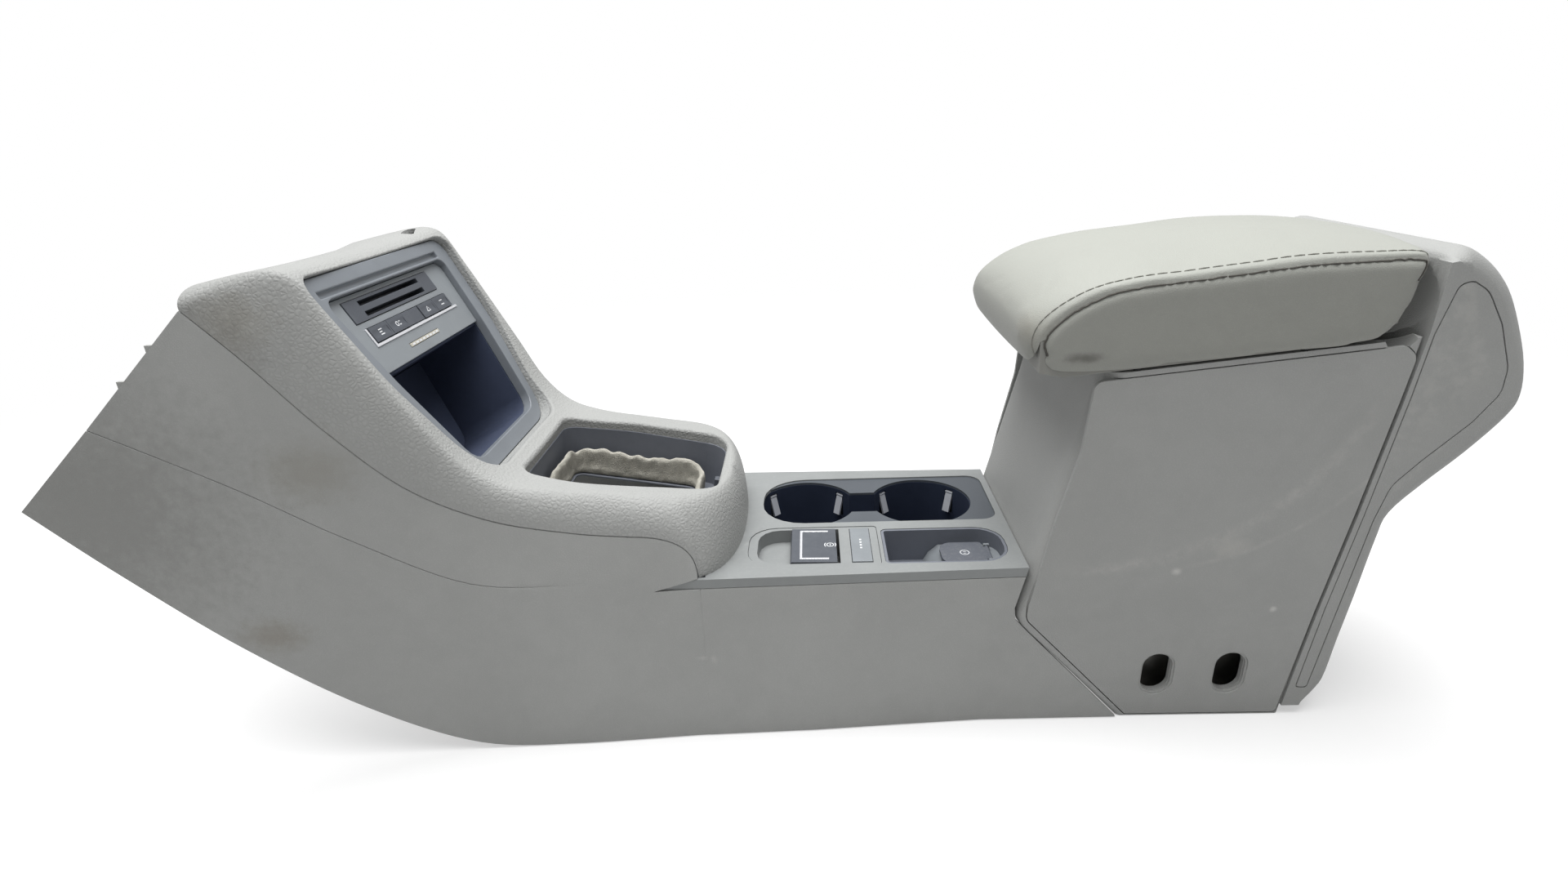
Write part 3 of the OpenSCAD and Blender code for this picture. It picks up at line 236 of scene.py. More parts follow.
def block(name, x0, x1, y0, y1, z0, z1, place=asDrawn):
    return prism(name, [(x0, y0), (x1, y0), (x1, y1), (x0, y1)], z0, z1, place)


def settle(piece):
    # modifiers become part of the mesh
    bpy.context.view_layer.update()
    graph = bpy.context.evaluated_depsgraph_get()
    mesh = bpy.data.meshes.new_from_object(piece.evaluated_get(graph))
    piece.modifiers.clear()
    piece.data = mesh
    return piece


def finer(piece):
    fine = piece.modifiers.new("fine", "SUBSURF")
    fine.levels = fine.render_levels = 1
    return settle(piece)


def carve(piece, *cutters, how="DIFFERENCE"):
    for cutter in cutters:
        step = piece.modifiers.new("carve", "BOOLEAN")
        step.operation = how
        step.solver = "MANIFOLD"
        step.object = cutter
        settle(piece)
        bpy.data.objects.remove(cutter)
    return piece


def copyOf(piece, name):
    return linked(name, piece.data.copy())


def mirroredCopy(piece, name):
    return moved(copyOf(piece, name), mirrorY)


def joined(name, pieces):
    work = bmesh.new()
    for piece in pieces:
        work.from_mesh(piece.data)
        bpy.data.objects.remove(piece)
    mesh = bpy.data.meshes.new(name)
    work.to_mesh(mesh)
    work.free()
    return linked(name, mesh)


def surfaceOf(piece):
    work = bmesh.new()
    work.from_mesh(piece.data)
    tree = BVHTree.FromBMesh(work)
    work.free()
    return tree


def softShading():
    # smooth faces, with edges over the angle kept crisp
    group = bpy.data.node_groups.new("softShading", "GeometryNodeTree")
    for label, way, kind in (("Geometry", "INPUT", "Geometry"), ("Crisp", "INPUT", "Float"),
                             ("Geometry", "OUTPUT", "Geometry")):
        group.interface.new_socket(name=label, in_out=way, socket_type="NodeSocket" + kind)
    start = group.nodes.new("NodeGroupInput")
    end = group.nodes.new("NodeGroupOutput")
    smooth = group.nodes.new("GeometryNodeSetShadeSmooth")
    crisp = group.nodes.new("GeometryNodeSetShadeSmooth")
    crisp.domain = "EDGE"
    crisp.inputs["Shade Smooth"].default_value = False
    angle = group.nodes.new("GeometryNodeInputMeshEdgeAngle")
    over = group.nodes.new("FunctionNodeCompare")
    link = group.links.new
    link(start.outputs[0], smooth.inputs["Geometry"])
    link(smooth.outputs[0], crisp.inputs["Geometry"])
    link(angle.outputs["Unsigned Angle"], over.inputs["A"])
    link(start.outputs[1], over.inputs["B"])
    link(over.outputs[0], crisp.inputs["Selection"])
    link(crisp.outputs[0], end.inputs[0])
    return group


softShadingGroup = softShading()
rounded = {"weld": 0.02, "flatWithin": 0.6, "sharperThan": 30}     # mm, degrees, degrees


def softened(piece, edge=0.0, crisp=35, segments=2, flatten=True):
    # edge is the rounding in mm; corners sharper than crisp degrees stay sharp
    if edge:
        join = piece.modifiers.new("join", "WELD")
        join.merge_threshold = rounded["weld"] * mm
        if flatten:
            flat = piece.modifiers.new("flat", "DECIMATE")
            flat.decimate_type = "DISSOLVE"
            flat.angle_limit = math.radians(rounded["flatWithin"])
        rounding = piece.modifiers.new("rounding", "BEVEL")
        rounding.width = edge * mm
        rounding.segments = segments
        rounding.limit_method = "ANGLE"
        rounding.angle_limit = math.radians(rounded["sharperThan"])
    shade = piece.modifiers.new("shade", "NODES")
    shade.node_group = softShadingGroup
    socket = [s.identifier for s in softShadingGroup.interface.items_tree if s.name == "Crisp"][0]
    shade[socket] = math.radians(crisp)
    even = piece.modifiers.new("even", "WEIGHTED_NORMAL")
    even.keep_sharp = True
    return piece


# Shader groups, each an effect that several finishes share
def shaderGroup(name, inputs, outputs):
    group = bpy.data.node_groups.new(name, "ShaderNodeTree")
    for label, value in inputs.items():
        kind = "NodeSocketVector" if isinstance(value, tuple) else "NodeSocketFloat"
        group.interface.new_socket(name=label, in_out="INPUT", socket_type=kind).default_value = value
    for label in outputs:
        group.interface.new_socket(name=label, in_out="OUTPUT", socket_type="NodeSocketFloat")
    return group, group.nodes.new("NodeGroupInput").outputs, group.nodes.new("NodeGroupOutput").inputs


def node(tree, kind, settings=None, **inputs):
    # a node with its settings; its inputs, by name or as i and a number, take values or other outputs
    made = tree.nodes.new("ShaderNode" + kind)
    for key, value in (settings or {}).items():
        setattr(made, key, value)
    for key, value in inputs.items():
        numbered = key[0] == "i" and key[1:].isdigit()
        socket = made.inputs[int(key[1:]) if numbered else key.replace("_", " ")]
        if isinstance(value, bpy.types.NodeSocket):
            tree.links.new(value, socket)
        else:
            socket.default_value = value
    return next(o for o in made.outputs if o.enabled)


def calc(tree, kind, a, b=0.0):
    return node(tree, "Math", {"operation": kind}, i0=a, i1=b)


def plus(tree, a, b):
    return calc(tree, "ADD", a, b)


def minus(tree, a, b):
    return calc(tree, "SUBTRACT", a, b)


def times(tree, first, *others):
    for other in others:
        first = calc(tree, "MULTIPLY", first, other)
    return first


def ramp(tree, value, low, high, outLow=0.0, outHigh=1.0):
    # an eased step between low and high
    return node(tree, "MapRange", {"interpolation_type": "SMOOTHSTEP"}, Value=value, From_Min=low,
                From_Max=high, To_Min=outLow, To_Max=outHigh)


def mixed(tree, share, under, over):
    return node(tree, "Mix", {"data_type": "RGBA"}, i0=share, i6=under, i7=over)


def objectPlace(tree):
    return tree.nodes.new("ShaderNodeTexCoord").outputs["Object"]


def lengthOf(tree, value):
    measure = tree.nodes.new("ShaderNodeVectorMath")
    measure.operation = "LENGTH"
    tree.links.new(value, measure.inputs[0])
    return measure.outputs["Value"]


def axesOf(tree, value):
    parts = tree.nodes.new("ShaderNodeSeparateXYZ")
    tree.links.new(value, parts.inputs[0])
    return parts.outputs


def facingUp(tree):
    return axesOf(tree, tree.nodes.new("ShaderNodeNewGeometry").outputs["Normal"])["Z"]


def perMetre(tree, size):
    # the scale of a texture whose cells are size mm across
    return calc(tree, "DIVIDE", metre, size)


def grainGroup():
    # pebbled hide: rounded cells with fine wrinkles between them
    bendScale, bendBy, domeEdge, fineScale = 0.6, 0.0011, 0.32, 2.6
    tree, given, out = shaderGroup("pebbleGrain", {"Size": 1.4, "Wrinkle": 0.4}, ["Height", "Valley"])
    place = objectPlace(tree)
    scale = perMetre(tree, given["Size"])
    bend = node(tree, "TexNoise", Vector=place, Scale=times(tree, scale, bendScale), Detail=2.0)
    shift = node(tree, "VectorMath", {"operation": "SCALE"}, i0=bend, Scale=bendBy)
    bent = node(tree, "VectorMath", {"operation": "ADD"}, i0=place, i1=shift)
    cells = node(tree, "TexVoronoi", {"feature": "DISTANCE_TO_EDGE"}, Vector=bent, Scale=scale)
    dome = ramp(tree, cells, 0.0, domeEdge)
    fine = node(tree, "TexNoise", Vector=place, Scale=times(tree, scale, fineScale), Detail=3.0)
    tree.links.new(plus(tree, dome, times(tree, fine, given["Wrinkle"])), out["Height"])
    tree.links.new(minus(tree, 1.0, dome), out["Valley"])
    return tree


def stippleGroup():
    # fine spark-eroded moulding texture
    tree, given, out = shaderGroup("mouldStipple", {"Size": 0.5}, ["Height"])
    scale = perMetre(tree, given["Size"])
    fine = node(tree, "TexNoise", Vector=objectPlace(tree), Scale=scale, Detail=4.0, Roughness=0.7)
    tree.links.new(fine, out["Height"])
    return tree


def patchesGroup():
    # broad uneven patches, for handling marks and small shifts of tone
    streakScale, broadShare, edgeFrom, edgeBy, edgeWidth = 7.0, 0.75, 0.72, 0.3, 0.16
    tree, given, out = shaderGroup("handledPatches", {"Size": 60.0, "Cover": 0.5}, ["Mask", "Tone"])
    place = objectPlace(tree)
    scale = perMetre(tree, given["Size"])
    broad = node(tree, "TexNoise", Vector=place, Scale=scale, Detail=5.0, Roughness=0.62, Distortion=0.8)
    streak = node(tree, "TexNoise", Vector=place, Scale=times(tree, scale, streakScale), Detail=3.0)
    both = plus(tree, times(tree, broad, broadShare), times(tree, streak, 1 - broadShare))
    edge = minus(tree, edgeFrom, times(tree, given["Cover"], edgeBy))
    tree.links.new(ramp(tree, both, edge, plus(tree, edge, edgeWidth)), out["Mask"])
    tree.links.new(both, out["Tone"])
    return tree


def spotGroup():
    # one soft uneven spot at a place on the part
    noiseScale, rim, core = 140.0, 1.0, 0.1
    tree, given, out = shaderGroup("softSpot", {"Centre": (0, 0, 0), "Reach": (0.02, 0.02, 0.02),
                                                "Break": 0.5}, ["Mask"])
    place = objectPlace(tree)
    offset = node(tree, "VectorMath", {"operation": "SUBTRACT"}, i0=place, i1=given["Centre"])
    share = node(tree, "VectorMath", {"operation": "DIVIDE"}, i0=offset, i1=given["Reach"])
    away = lengthOf(tree, share)
    uneven = node(tree, "TexNoise", Vector=place, Scale=noiseScale, Detail=4.0, Roughness=0.65)
    far = plus(tree, away, times(tree, minus(tree, uneven, 0.5), given["Break"]))
    tree.links.new(ramp(tree, far, rim, core), out["Mask"])
    return tree


def scuffGroup():
    # a rubbed line on an arc in the side plane, about a centre at X and Z, between two angles
    noiseScale, endFade = 90.0, 0.25
    tree, given, out = shaderGroup("arcScuff", {"X": 0.0, "Z": 0.0, "Radius": 0.1, "Width": 0.004,
                                                "Start": -1.0, "Stop": 1.0, "Break": 0.6}, ["Mask"])
    place = objectPlace(tree)
    axes = axesOf(tree, place)
    dx, dz = minus(tree, axes["X"], given["X"]), minus(tree, axes["Z"], given["Z"])
    reach = calc(tree, "SQRT", plus(tree, times(tree, dx, dx), times(tree, dz, dz)))
    off = calc(tree, "ABSOLUTE", minus(tree, reach, given["Radius"]))
    line = ramp(tree, calc(tree, "DIVIDE", off, given["Width"]), 1.0, 0.0)
    angle = calc(tree, "ARCTAN2", dz, dx)
    begin = ramp(tree, minus(tree, angle, given["Start"]), 0.0, endFade)
    finish = ramp(tree, minus(tree, given["Stop"], angle), 0.0, endFade)
    uneven = node(tree, "TexNoise", Vector=place, Scale=noiseScale, Detail=6.0, Roughness=0.75)
    broken = ramp(tree, uneven, times(tree, given["Break"], 0.5), plus(tree, 0.3, given["Break"]))
    tree.links.new(times(tree, line, broken, times(tree, begin, finish)), out["Mask"])
    return tree


def rubGroup():
    # outward corners rubbed, unevenly
    tree, given, out = shaderGroup("cornerRub", {"Amount": 1.0}, ["Mask"])
    bend = tree.nodes.new("ShaderNodeNewGeometry").outputs["Pointiness"]
    worn = ramp(tree, bend, 0.54, 0.66)
    uneven = node(tree, "TexNoise", Vector=objectPlace(tree), Scale=160.0, Detail=4.0)
    tree.links.new(times(tree, worn, ramp(tree, uneven, 0.35, 0.7), given["Amount"]), out["Mask"])
    return tree


def dustGroup():
    # light dust on what faces up
    tree, given, out = shaderGroup("settledDust", {"Amount": 0.3}, ["Mask"])
    speck = node(tree, "TexNoise", Vector=objectPlace(tree), Scale=420.0, Detail=5.0, Roughness=0.8)
    up = ramp(tree, facingUp(tree), 0.3, 1.0)
    tree.links.new(times(tree, up, ramp(tree, speck, 0.45, 0.75), given["Amount"]), out["Mask"])
    return tree


def topLightGroup():
    # a second tone where the surface faces up: painted light or shade for how the light falls on tops
    tree, given, out = shaderGroup("paintedTopLight", {"From": 0.15, "To": 0.9, "Amount": 1.0}, ["Mask"])
    top = ramp(tree, facingUp(tree), given["From"], given["To"])
    tree.links.new(times(tree, top, given["Amount"]), out["Mask"])
    return tree


groups = {"topLight": topLightGroup(), "grain": grainGroup(), "stipple": stippleGroup(), "patches": patchesGroup(),
          "spot": spotGroup(), "arc": scuffGroup(), "rub": rubGroup(), "dust": dustGroup()}


def useGroup(tree, name, **values):
    made = tree.nodes.new("ShaderNodeGroup")
    made.node_tree = groups[name]
    for key, value in values.items():
        made.inputs[key].default_value = value
    return made.outputs


def linear(colour):
    # colours are written as they show on a screen, 0 to 255
    return [((c / 255 + 0.055) / 1.055) ** 2.4 if c > 10 else c / 255 / 12.92 for c in colour] + [1.0]


def shaded(colour, factor):
    return [min(c * factor, 1) for c in colour[:3]] + [1.0]


# What a finish has where its own look doesn't say otherwise; sizes in mm
plainLook = {"toneShift": 0.08, "toneSize": 45.0, "toneRange": (0.32, 0.68), "toneCover": 0.5,
             "roughShift": 0.06, "wrinkle": 0.4, "valleyShadow": 0.3, "valleyShade": 0.55, "bump": 0.6,
             "soilSize": 70.0, "spotBreak": 0.9, "scuffRough": 0.1, "dustColour": (196, 194, 188),
             "metal": 0.0, "specular": 0.4, "coat": 0.0, "coatRoughness": 0.2, "sheen": 0.0}


def finishOf(name, look):
    # one moulded, sewn or plated surface
    look = {**plainLook, **look}
    material = bpy.data.materials.new(name)
    material.use_nodes = True
    tree = material.node_tree
    shader = tree.nodes["Principled BSDF"]
    base = linear(look["colour"])
    patches = useGroup(tree, "patches", Size=look["toneSize"], Cover=look["toneCover"])
    tone = ramp(tree, patches["Tone"], *look["toneRange"])
    colour = mixed(tree, tone, shaded(base, 1 - look["toneShift"]), shaded(base, 1 + look["toneShift"]))
    if "grain" in look:
        size, depth = look["grain"]
        grain = useGroup(tree, "grain", Size=size, Wrinkle=look["wrinkle"])
        height = grain["Height"]
        sunk = times(tree, grain["Valley"], look["valleyShadow"])
        colour = mixed(tree, sunk, colour, shaded(base, look["valleyShade"]))
    else:
        size, depth = look["stipple"]
        height = useGroup(tree, "stipple", Size=size)["Height"]
    rough = plus(tree, look["roughness"] - look["roughShift"], times(tree, tone, 2 * look["roughShift"]))
    if "soil" in look:
        paint, cover, amount = look["soil"]
        soil = useGroup(tree, "patches", Size=look["soilSize"], Cover=cover)["Mask"]
        colour = mixed(tree, times(tree, soil, amount), colour, linear(paint))
    # spots are smudges and marks, and on the surround and side panels also a broad painted shade
    for centre, reach, paint, amount in look.get("spots", []):
        spot = useGroup(tree, "spot", Centre=[c * mm for c in centre], Reach=[c * mm for c in reach],
                        Break=look["spotBreak"])["Mask"]
        colour = mixed(tree, times(tree, spot, amount), colour, linear(paint))
    for x, z, radius, width, start, stop, amount in look.get("scuffs", []):
        line = useGroup(tree, "arc", X=x * mm, Z=z * mm, Radius=radius * mm, Width=width * mm,
                        Start=start, Stop=stop)["Mask"]
        colour = mixed(tree, times(tree, line, amount), colour, linear(look["scuffColour"]))
        rough = plus(tree, rough, times(tree, line, look["scuffRough"]))
    # rubbed corners and dust are wear; the second tone on what faces up is painted light or shade
    for effect in ("rub", "faded", "dust"):
        if effect not in look:
            continue
        paint, amount = (look["dustColour"], look["dust"]) if effect == "dust" else look[effect]
        mask = useGroup(tree, "topLight" if effect == "faded" else effect, Amount=amount)["Mask"]
        colour = mixed(tree, mask, colour, linear(paint))
    tree.links.new(colour, shader.inputs["Base Color"])
    tree.links.new(rough, shader.inputs["Roughness"])
    bump = node(tree, "Bump", Strength=look["bump"], Distance=depth * mm, Height=height)
    tree.links.new(bump, shader.inputs["Normal"])
    for socket, key in (("Metallic", "metal"), ("Specular IOR Level", "specular"), ("Coat Weight", "coat"),
                        ("Coat Roughness", "coatRoughness"), ("Sheen Weight", "sheen")):
        shader.inputs[socket].default_value = look[key]
    material.diffuse_color = base
    return material


# Grain and stipple are a size and a depth in mm; rub, and the painted light or shade on what faces up,
# a colour and an amount; soil a colour, a cover and an amount; spots a centre, a reach, a colour and an
# amount
# the shell's tone on what faces up is a little darker: painted shade
shellLook = {"colour": (174, 175, 173), "faded": ((171, 172, 170), 0.8), "roughness": 0.55,
             "grain": (1.5, 0.13), "valleyShadow": 0.10, "bump": 0.5, "toneShift": 0.04, "toneSize": 80.0,
             "soil": ((128, 122, 110), 0.25, 0.16), "soilSize": 95.0, "rub": ((205, 205, 200), 0.25),
             "specular": 0.3}
surroundMarksAndShade = [
    ((-305, -112, 322), (36, 30, 26), (150, 142, 122), 0.28),
    ((-284, -112, 236), (40, 30, 30), (134, 126, 108), 0.26),
    ((-318, -112, 290), (30, 30, 30), (140, 132, 112), 0.2),
    # painted shade: a broad grey patch darkening the left front of the flank
    ((-370, -112, 290), (110, 60, 120), (122, 122, 120), 0.6)]
sidePanelMarksAndShade = [
    ((-338, -108, 106), (34, 30, 20), (124, 112, 92), 0.4),
    ((-284, -112, 225), (44, 30, 30), (128, 120, 102), 0.28),
    # painted shade: a broad grey patch darkening the left front of the panel
    ((-430, -120, 210), (150, 60, 130), (134, 134, 131), 0.6),
    ((-50, -105, 66), (8, 20, 3.5), (206, 206, 202), 0.75),
    ((-42, -105, 64), (4.5, 20, 7), (206, 206, 202), 0.7)]
binPanelSpots = [
    ((276, -86, 124), (5, 20, 4), (212, 212, 208), 0.75),
    ((346, -86, 92), (3.5, 20, 3.5), (212, 212, 208), 0.75),
    ((309, -86, 142), (18, 20, 11), (196, 195, 190), 0.45)]
binPanelScuffs = [      # centre x and z, radius, width, first and last angle, amount
    (215, 305, 178, 8.0, -1.75, -0.25, 0.6), (250, 300, 175, 3.0, -1.5, -0.4, 0.5),
    (2300, 320, 2027, 3.0, -3.1416, -3.0, 0.4), (-900, 250, 1203, 2.6, -0.19, -0.06, 0.45),
    (2600, 350, 2312, 2.0, -3.1416, -3.02, 0.35)]
lidSpots = [
    ((197, -94, 278), (17, 12, 5), (62, 58, 52), 0.55),
    ((166, -80, 300), (22, 20, 24), (150, 142, 126), 0.25)]
looks = {
    "surround": ("surroundHide", {
        **shellLook, "grain": (3.0, 0.45), "wrinkle": 0.5, "valleyShadow": 0.12, "spots": surroundMarksAndShade}),
    "sidePanel": ("sidePanelGrain", {**shellLook, "spots": sidePanelMarksAndShade}),
    "binPanel": ("binPanelGrain", {
        **shellLook, "scuffs": binPanelScuffs, "scuffColour": (205, 204, 200), "spots": binPanelSpots}),
    "shell": ("shellGrain", shellLook),
    "ledge": ("ledgeTrim", {
        "colour": (147, 150, 150), "roughness": 0.5, "stipple": (0.45, 0.05), "toneShift": 0.04,
        "rub": ((186, 188, 186), 0.3), "dust": 0.10}),
    "bezel": ("bezelPaint", {
        "colour": (130, 135, 141), "roughness": 0.36, "stipple": (0.35, 0.03), "toneShift": 0.05,
        "rub": ((170, 174, 178), 0.35), "specular": 0.5}),
    "plate": ("switchPlatePaint", {
        "colour": (140, 145, 149), "roughness": 0.4, "stipple": (0.35, 0.03), "toneShift": 0.05,
        "rub": ((160, 164, 168), 0.3)}),
    "cupPlate": ("cupPlatePaint", {
        "colour": (86, 91, 97), "roughness": 0.42, "stipple": (0.35, 0.03), "toneShift": 0.05,
        "rub": ((150, 154, 158), 0.3)}),
    "lining": ("linedMoulding", {
        "colour": (120, 124, 133), "roughness": 0.55, "stipple": (0.5, 0.06), "toneShift": 0.06,
        "rub": ((140, 142, 146), 0.2), "dust": 0.1}),
    "key": ("keyPaint", {
        "colour": (84, 88, 95), "roughness": 0.42, "stipple": (0.3, 0.03), "toneShift": 0.04,
        "rub": ((150, 152, 156), 0.4)}),
    "dark": ("darkMoulding", {
        "colour": (98, 102, 110), "roughness": 0.52, "stipple": (0.5, 0.06), "toneShift": 0.07,
        "rub": ((120, 122, 126), 0.3), "dust": 0.14}),
    "pocket": ("pocketLining", {
        "colour": (64, 72, 93), "roughness": 0.7, "stipple": (0.5, 0.06), "dust": 0.04, "specular": 0.3}),
    "black": ("navyInsert", {
        "colour": (47, 55, 74), "roughness": 0.62, "stipple": (0.5, 0.06), "toneShift": 0.1,
        "dust": 0.05, "specular": 0.3}),
    "chrome": ("chromeTrim", {
        "colour": (240, 241, 245), "roughness": 0.2, "roughShift": 0.04, "metal": 0.45,
        "stipple": (0.8, 0.01), "toneShift": 0.03}),
    "grip": ("gripSilver", {
        "colour": (206, 209, 216), "roughness": 0.34, "metal": 0.25, "stipple": (0.6, 0.02),
        "toneShift": 0.04}),
    "lens": ("lampLens", {
        "colour": (196, 192, 178), "roughness": 0.3, "stipple": (1.2, 0.02), "toneShift": 0.05,
        "coat": 0.4}),
    # the foam's top is painted lighter than its sides: painted light
    "foam": ("gasketFoam", {
        "colour": (190, 187, 176), "faded": ((204, 201, 190), 0.8), "roughness": 0.92, "roughShift": 0.03,
        "grain": (1.1, 0.35), "wrinkle": 0.9, "valleyShadow": 0.4, "toneShift": 0.14, "toneSize": 16.0,
        "soil": ((118, 112, 98), 0.6, 0.5), "soilSize": 18.0, "specular": 0.15, "bump": 0.9}),
    "mat": ("linerMat", {
        "colour": (58, 60, 63), "roughness": 0.8, "stipple": (0.7, 0.1), "toneShift": 0.1, "dust": 0.25}),
    "spring": ("springSteel", {
        "colour": (190, 192, 196), "roughness": 0.3, "metal": 1.0, "stipple": (0.6, 0.02)}),
    "steel": ("platedSteel", {
        "colour": (158, 158, 154), "roughness": 0.4, "metal": 1.0, "stipple": (0.6, 0.03),
        "toneShift": 0.12, "soil": ((96, 82, 66), 0.35, 0.3)}),
    # the lid's top is painted lighter than its sides: painted light
    "hide": ("lidHide", {
        "colour": (160, 161, 155), "faded": ((173, 175, 168), 0.95), "roughness": 0.5,
        "grain": (1.15, 0.12), "valleyShadow": 0.10, "wrinkle": 0.5, "toneShift": 0.035, "toneSize": 60.0,
        "soil": ((140, 134, 120), 0.2, 0.14), "bump": 0.5, "spots": lidSpots, "sheen": 0.04,
        "specular": 0.28}),
    "lidBase": ("lidUnderside", {
        "colour": (146, 146, 141), "roughness": 0.6, "stipple": (0.6, 0.08), "toneShift": 0.06}),
    "thread": ("seamThread", {"colour": (150, 150, 143), "roughness": 0.7, "stipple": (0.3, 0.08)}),
    # dark line laid in the armrest seams: painted shadow
    "valleyShadow": ("seamShadowLine", {
        "colour": (84, 82, 77), "roughness": 0.8, "stipple": (0.4, 0.05), "toneShift": 0.1}),
    "rubber": ("bumperRubber", {
        "colour": (40, 40, 42), "roughness": 0.75, "stipple": (0.5, 0.06), "toneShift": 0.1}),
    "print": ("paleMark", {
        "colour": (224, 226, 228), "roughness": 0.5, "stipple": (0.3, 0.02), "toneShift": 0.05})}
finishes = {key: finishOf(name, look) for key, (name, look) in looks.items()}
print("finishes made:", len(finishes))


def dress(piece, finish):
    piece.data.materials.clear()
    piece.data.materials.append(finishes[finish])
    return piece


def place(piece, body, slot, *replaced):
    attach(piece, body)
    if replaced:
        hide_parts(*replaced)


def placePair(left, right, solid, finish, **how):
    for piece, side in ((left, "_left"), (right, "_right")):
        place(softened(dress(piece, finish), **how), "console", "shell_grey", solid + side)


# Front surround: the same sections as the solid, in finer steps; rows are measured from the nose's end
# and the ledge, as x back, z up, half width and, for the ridge, the seam row that it faces
ledgeZ = 128
noseX = -21
wall = 3
gap, seamGap = 0.4, 0.5


def placed(row):
    return [noseX - row[0], ledgeZ + row[1], *row[2:]]


seamRows = [placed(row) for row in [
    (312, 202, 111), (281, 170, 113), (245, 123, 110), (207, 80, 103), (161, 52, 95), (110, 39, 90.5),
    (76, 35, 89.5), (55, 33, 89), (39, 27, 88.6), (30, 16, 88), (27, 0, 87)]]
creaseRows = [placed(row) for row in [
    (391, 131, 115.5), (349, 110, 116), (305, 85, 114.5), (251, 48.5, 110), (182, 8, 101.5),
    (114, 1, 95.6), (77, -0.5, 93.4), (56, -1, 92), (39, -1.4, 91.2), (30, -1.7, 90.6), (27, -2, 90)]]
floorRows = [[noseX - row[0], row[1], row[2]] for row in [
    (449, 207, 121), (402, 157, 119), (340, 96, 115.5), (268, 42, 112.4), (194, 5, 107.5),
    (119, 0, 104), (79, 0, 101), (56, 0, 99), (39, 0, 97.6), (30, 0, 97), (27, 0, 97)]]
ridgeRows = [placed(row) for row in [
    (314, 213, 88, 0), (289, 218, 97, 0.1), (271, 221, 100, 0.27), (256, 221.5, 101, 0.45),
    (244, 215, 101, 0.7), (231, 192, 100.5, 1.15), (219, 170, 99.5, 1.5), (195, 126, 96.5, 2.37),
    (176, 94, 91, 2.95), (153, 74.5, 84, 3.57), (124, 66.5, 77.5, 4.37), (91, 62, 73.5, 5.25),
    (69, 59, 71, 6), (57, 57.5, 69.5, 7), (49, 56.4, 68.5, 8), (43, 55.5, 67.8, 9), (39, 55, 67.2, 10)]]
surround = {"ridgeDip": 4.5, "turnFrom": 12, "turnOver": 4, "underLean": 2.2,
            "noseDepth": 41.3, "noseWidth": 89, "nosePower": 2.5, "noseStart": 0.34, "noseThin": 0.03,
            "crestBack": 10, "crestDepth": 44, "crestWidth": 69, "crestHigh": 55, "crestLow": 50,
            "crestDrop": 4, "lipRadius": 2.6, "faceLip": 1.5, "liningSink": 1.4}


def surroundSection(r, s, turned, dip, sink, arcs, deck):
    # from ridge point r to seam point s on both flanks: x, z and half width each
    def flank(angle):
        down, out = 1 - math.cos(angle), math.sin(angle)
        forward = mix(down, out, turned)
        return mix(r[0], s[0], forward), mix(r[2], s[2], out), mix(r[1], s[1], down)
    size = math.hypot(s[0] - r[0], s[1] - r[1])
    dx, dz = (s[0] - r[0]) / size, (s[1] - r[1]) / size
    angles = [math.pi / 2 * k / arcs for k in range(arcs + 1)]
    near = [(x, -y, z) for x, y, z in map(flank, reversed(angles))]
    top = []
    for k in range(1, deck):
        t = 2 * k / deck - 1
        low = dip * (1 - t * t)
        top.append((r[0] + dx * low, t * r[2], r[1] + dz * low))
    far = [flank(angle) for angle in angles]
    back = s[0] + (dx - surround["underLean"]) * sink
    under = [(back, s[2], s[1] + dz * sink), (back, -s[2], s[1] + dz * sink)]
    return near + top + far + under


def surroundRings(by, sink, steps, arcs, deck, noseRings):
    # by is how far inside the outer skin they lie
    flat = [(p[0], p[1]) for p in ridgeRows]
    rings = []
    for i in range((len(ridgeRows) - 1) * steps):
        t = i / steps
        hx, hz = headingAt(flat, t)
        p = alongRows(ridgeRows, t)
        r = p[0] + hz * by, p[1] - hx * by, p[2] - by
        x, z, half = alongRows(seamRows, clamped(p[3], 0, len(seamRows) - 1))
        turned = clamped((t - surround["turnFrom"]) / surround["turnOver"], 0, 1)
        rings.append(surroundSection(r, (x, z, half - by), turned, surround["ridgeDip"], sink, arcs, deck))
    start, power = surround["noseStart"], surround["nosePower"]
    first = start + by * surround["noseThin"]
    for k in range(noseRings + 1):
        a = first + (1 - first) * math.sin(math.pi / 2 * k / noseRings)
        w = max(1 - a ** power, 0) ** (1 / power)
        q = (a - start) / (1 - start)
        s = (noseX - by - (surround["noseDepth"] - by) * (1 - a), ledgeZ,
             max((surround["noseWidth"] - by) * w, 0.2))
        crest = mix(surround["crestHigh"], surround["crestLow"], q) - surround["crestDrop"] * q ** 3
        r = (noseX - surround["crestBack"] - by - (surround["crestDepth"] - by) * (1 - a),
             ledgeZ + crest - by, max((surround["crestWidth"] - by) * w, 0.15))
        rings.append(surroundSection(r, s, 1, surround["ridgeDip"] * w, sink, arcs, deck))
    return rings


# The switch face and the selector opening lie on two slopes, from start to end in x and z
faceTop, faceLow = (-266.4, 336), (-187.4, 191.3)
shiftStart, shiftEnd = (-172, 194), (-36, 173.2)


def slopeFrame(start, end):
    turn = math.atan2(start[1] - end[1], end[0] - start[0])
    return Matrix.Translation((start[0] * mm, 0, start[1] * mm)) @ Matrix.Rotation(turn, 4, "Y")


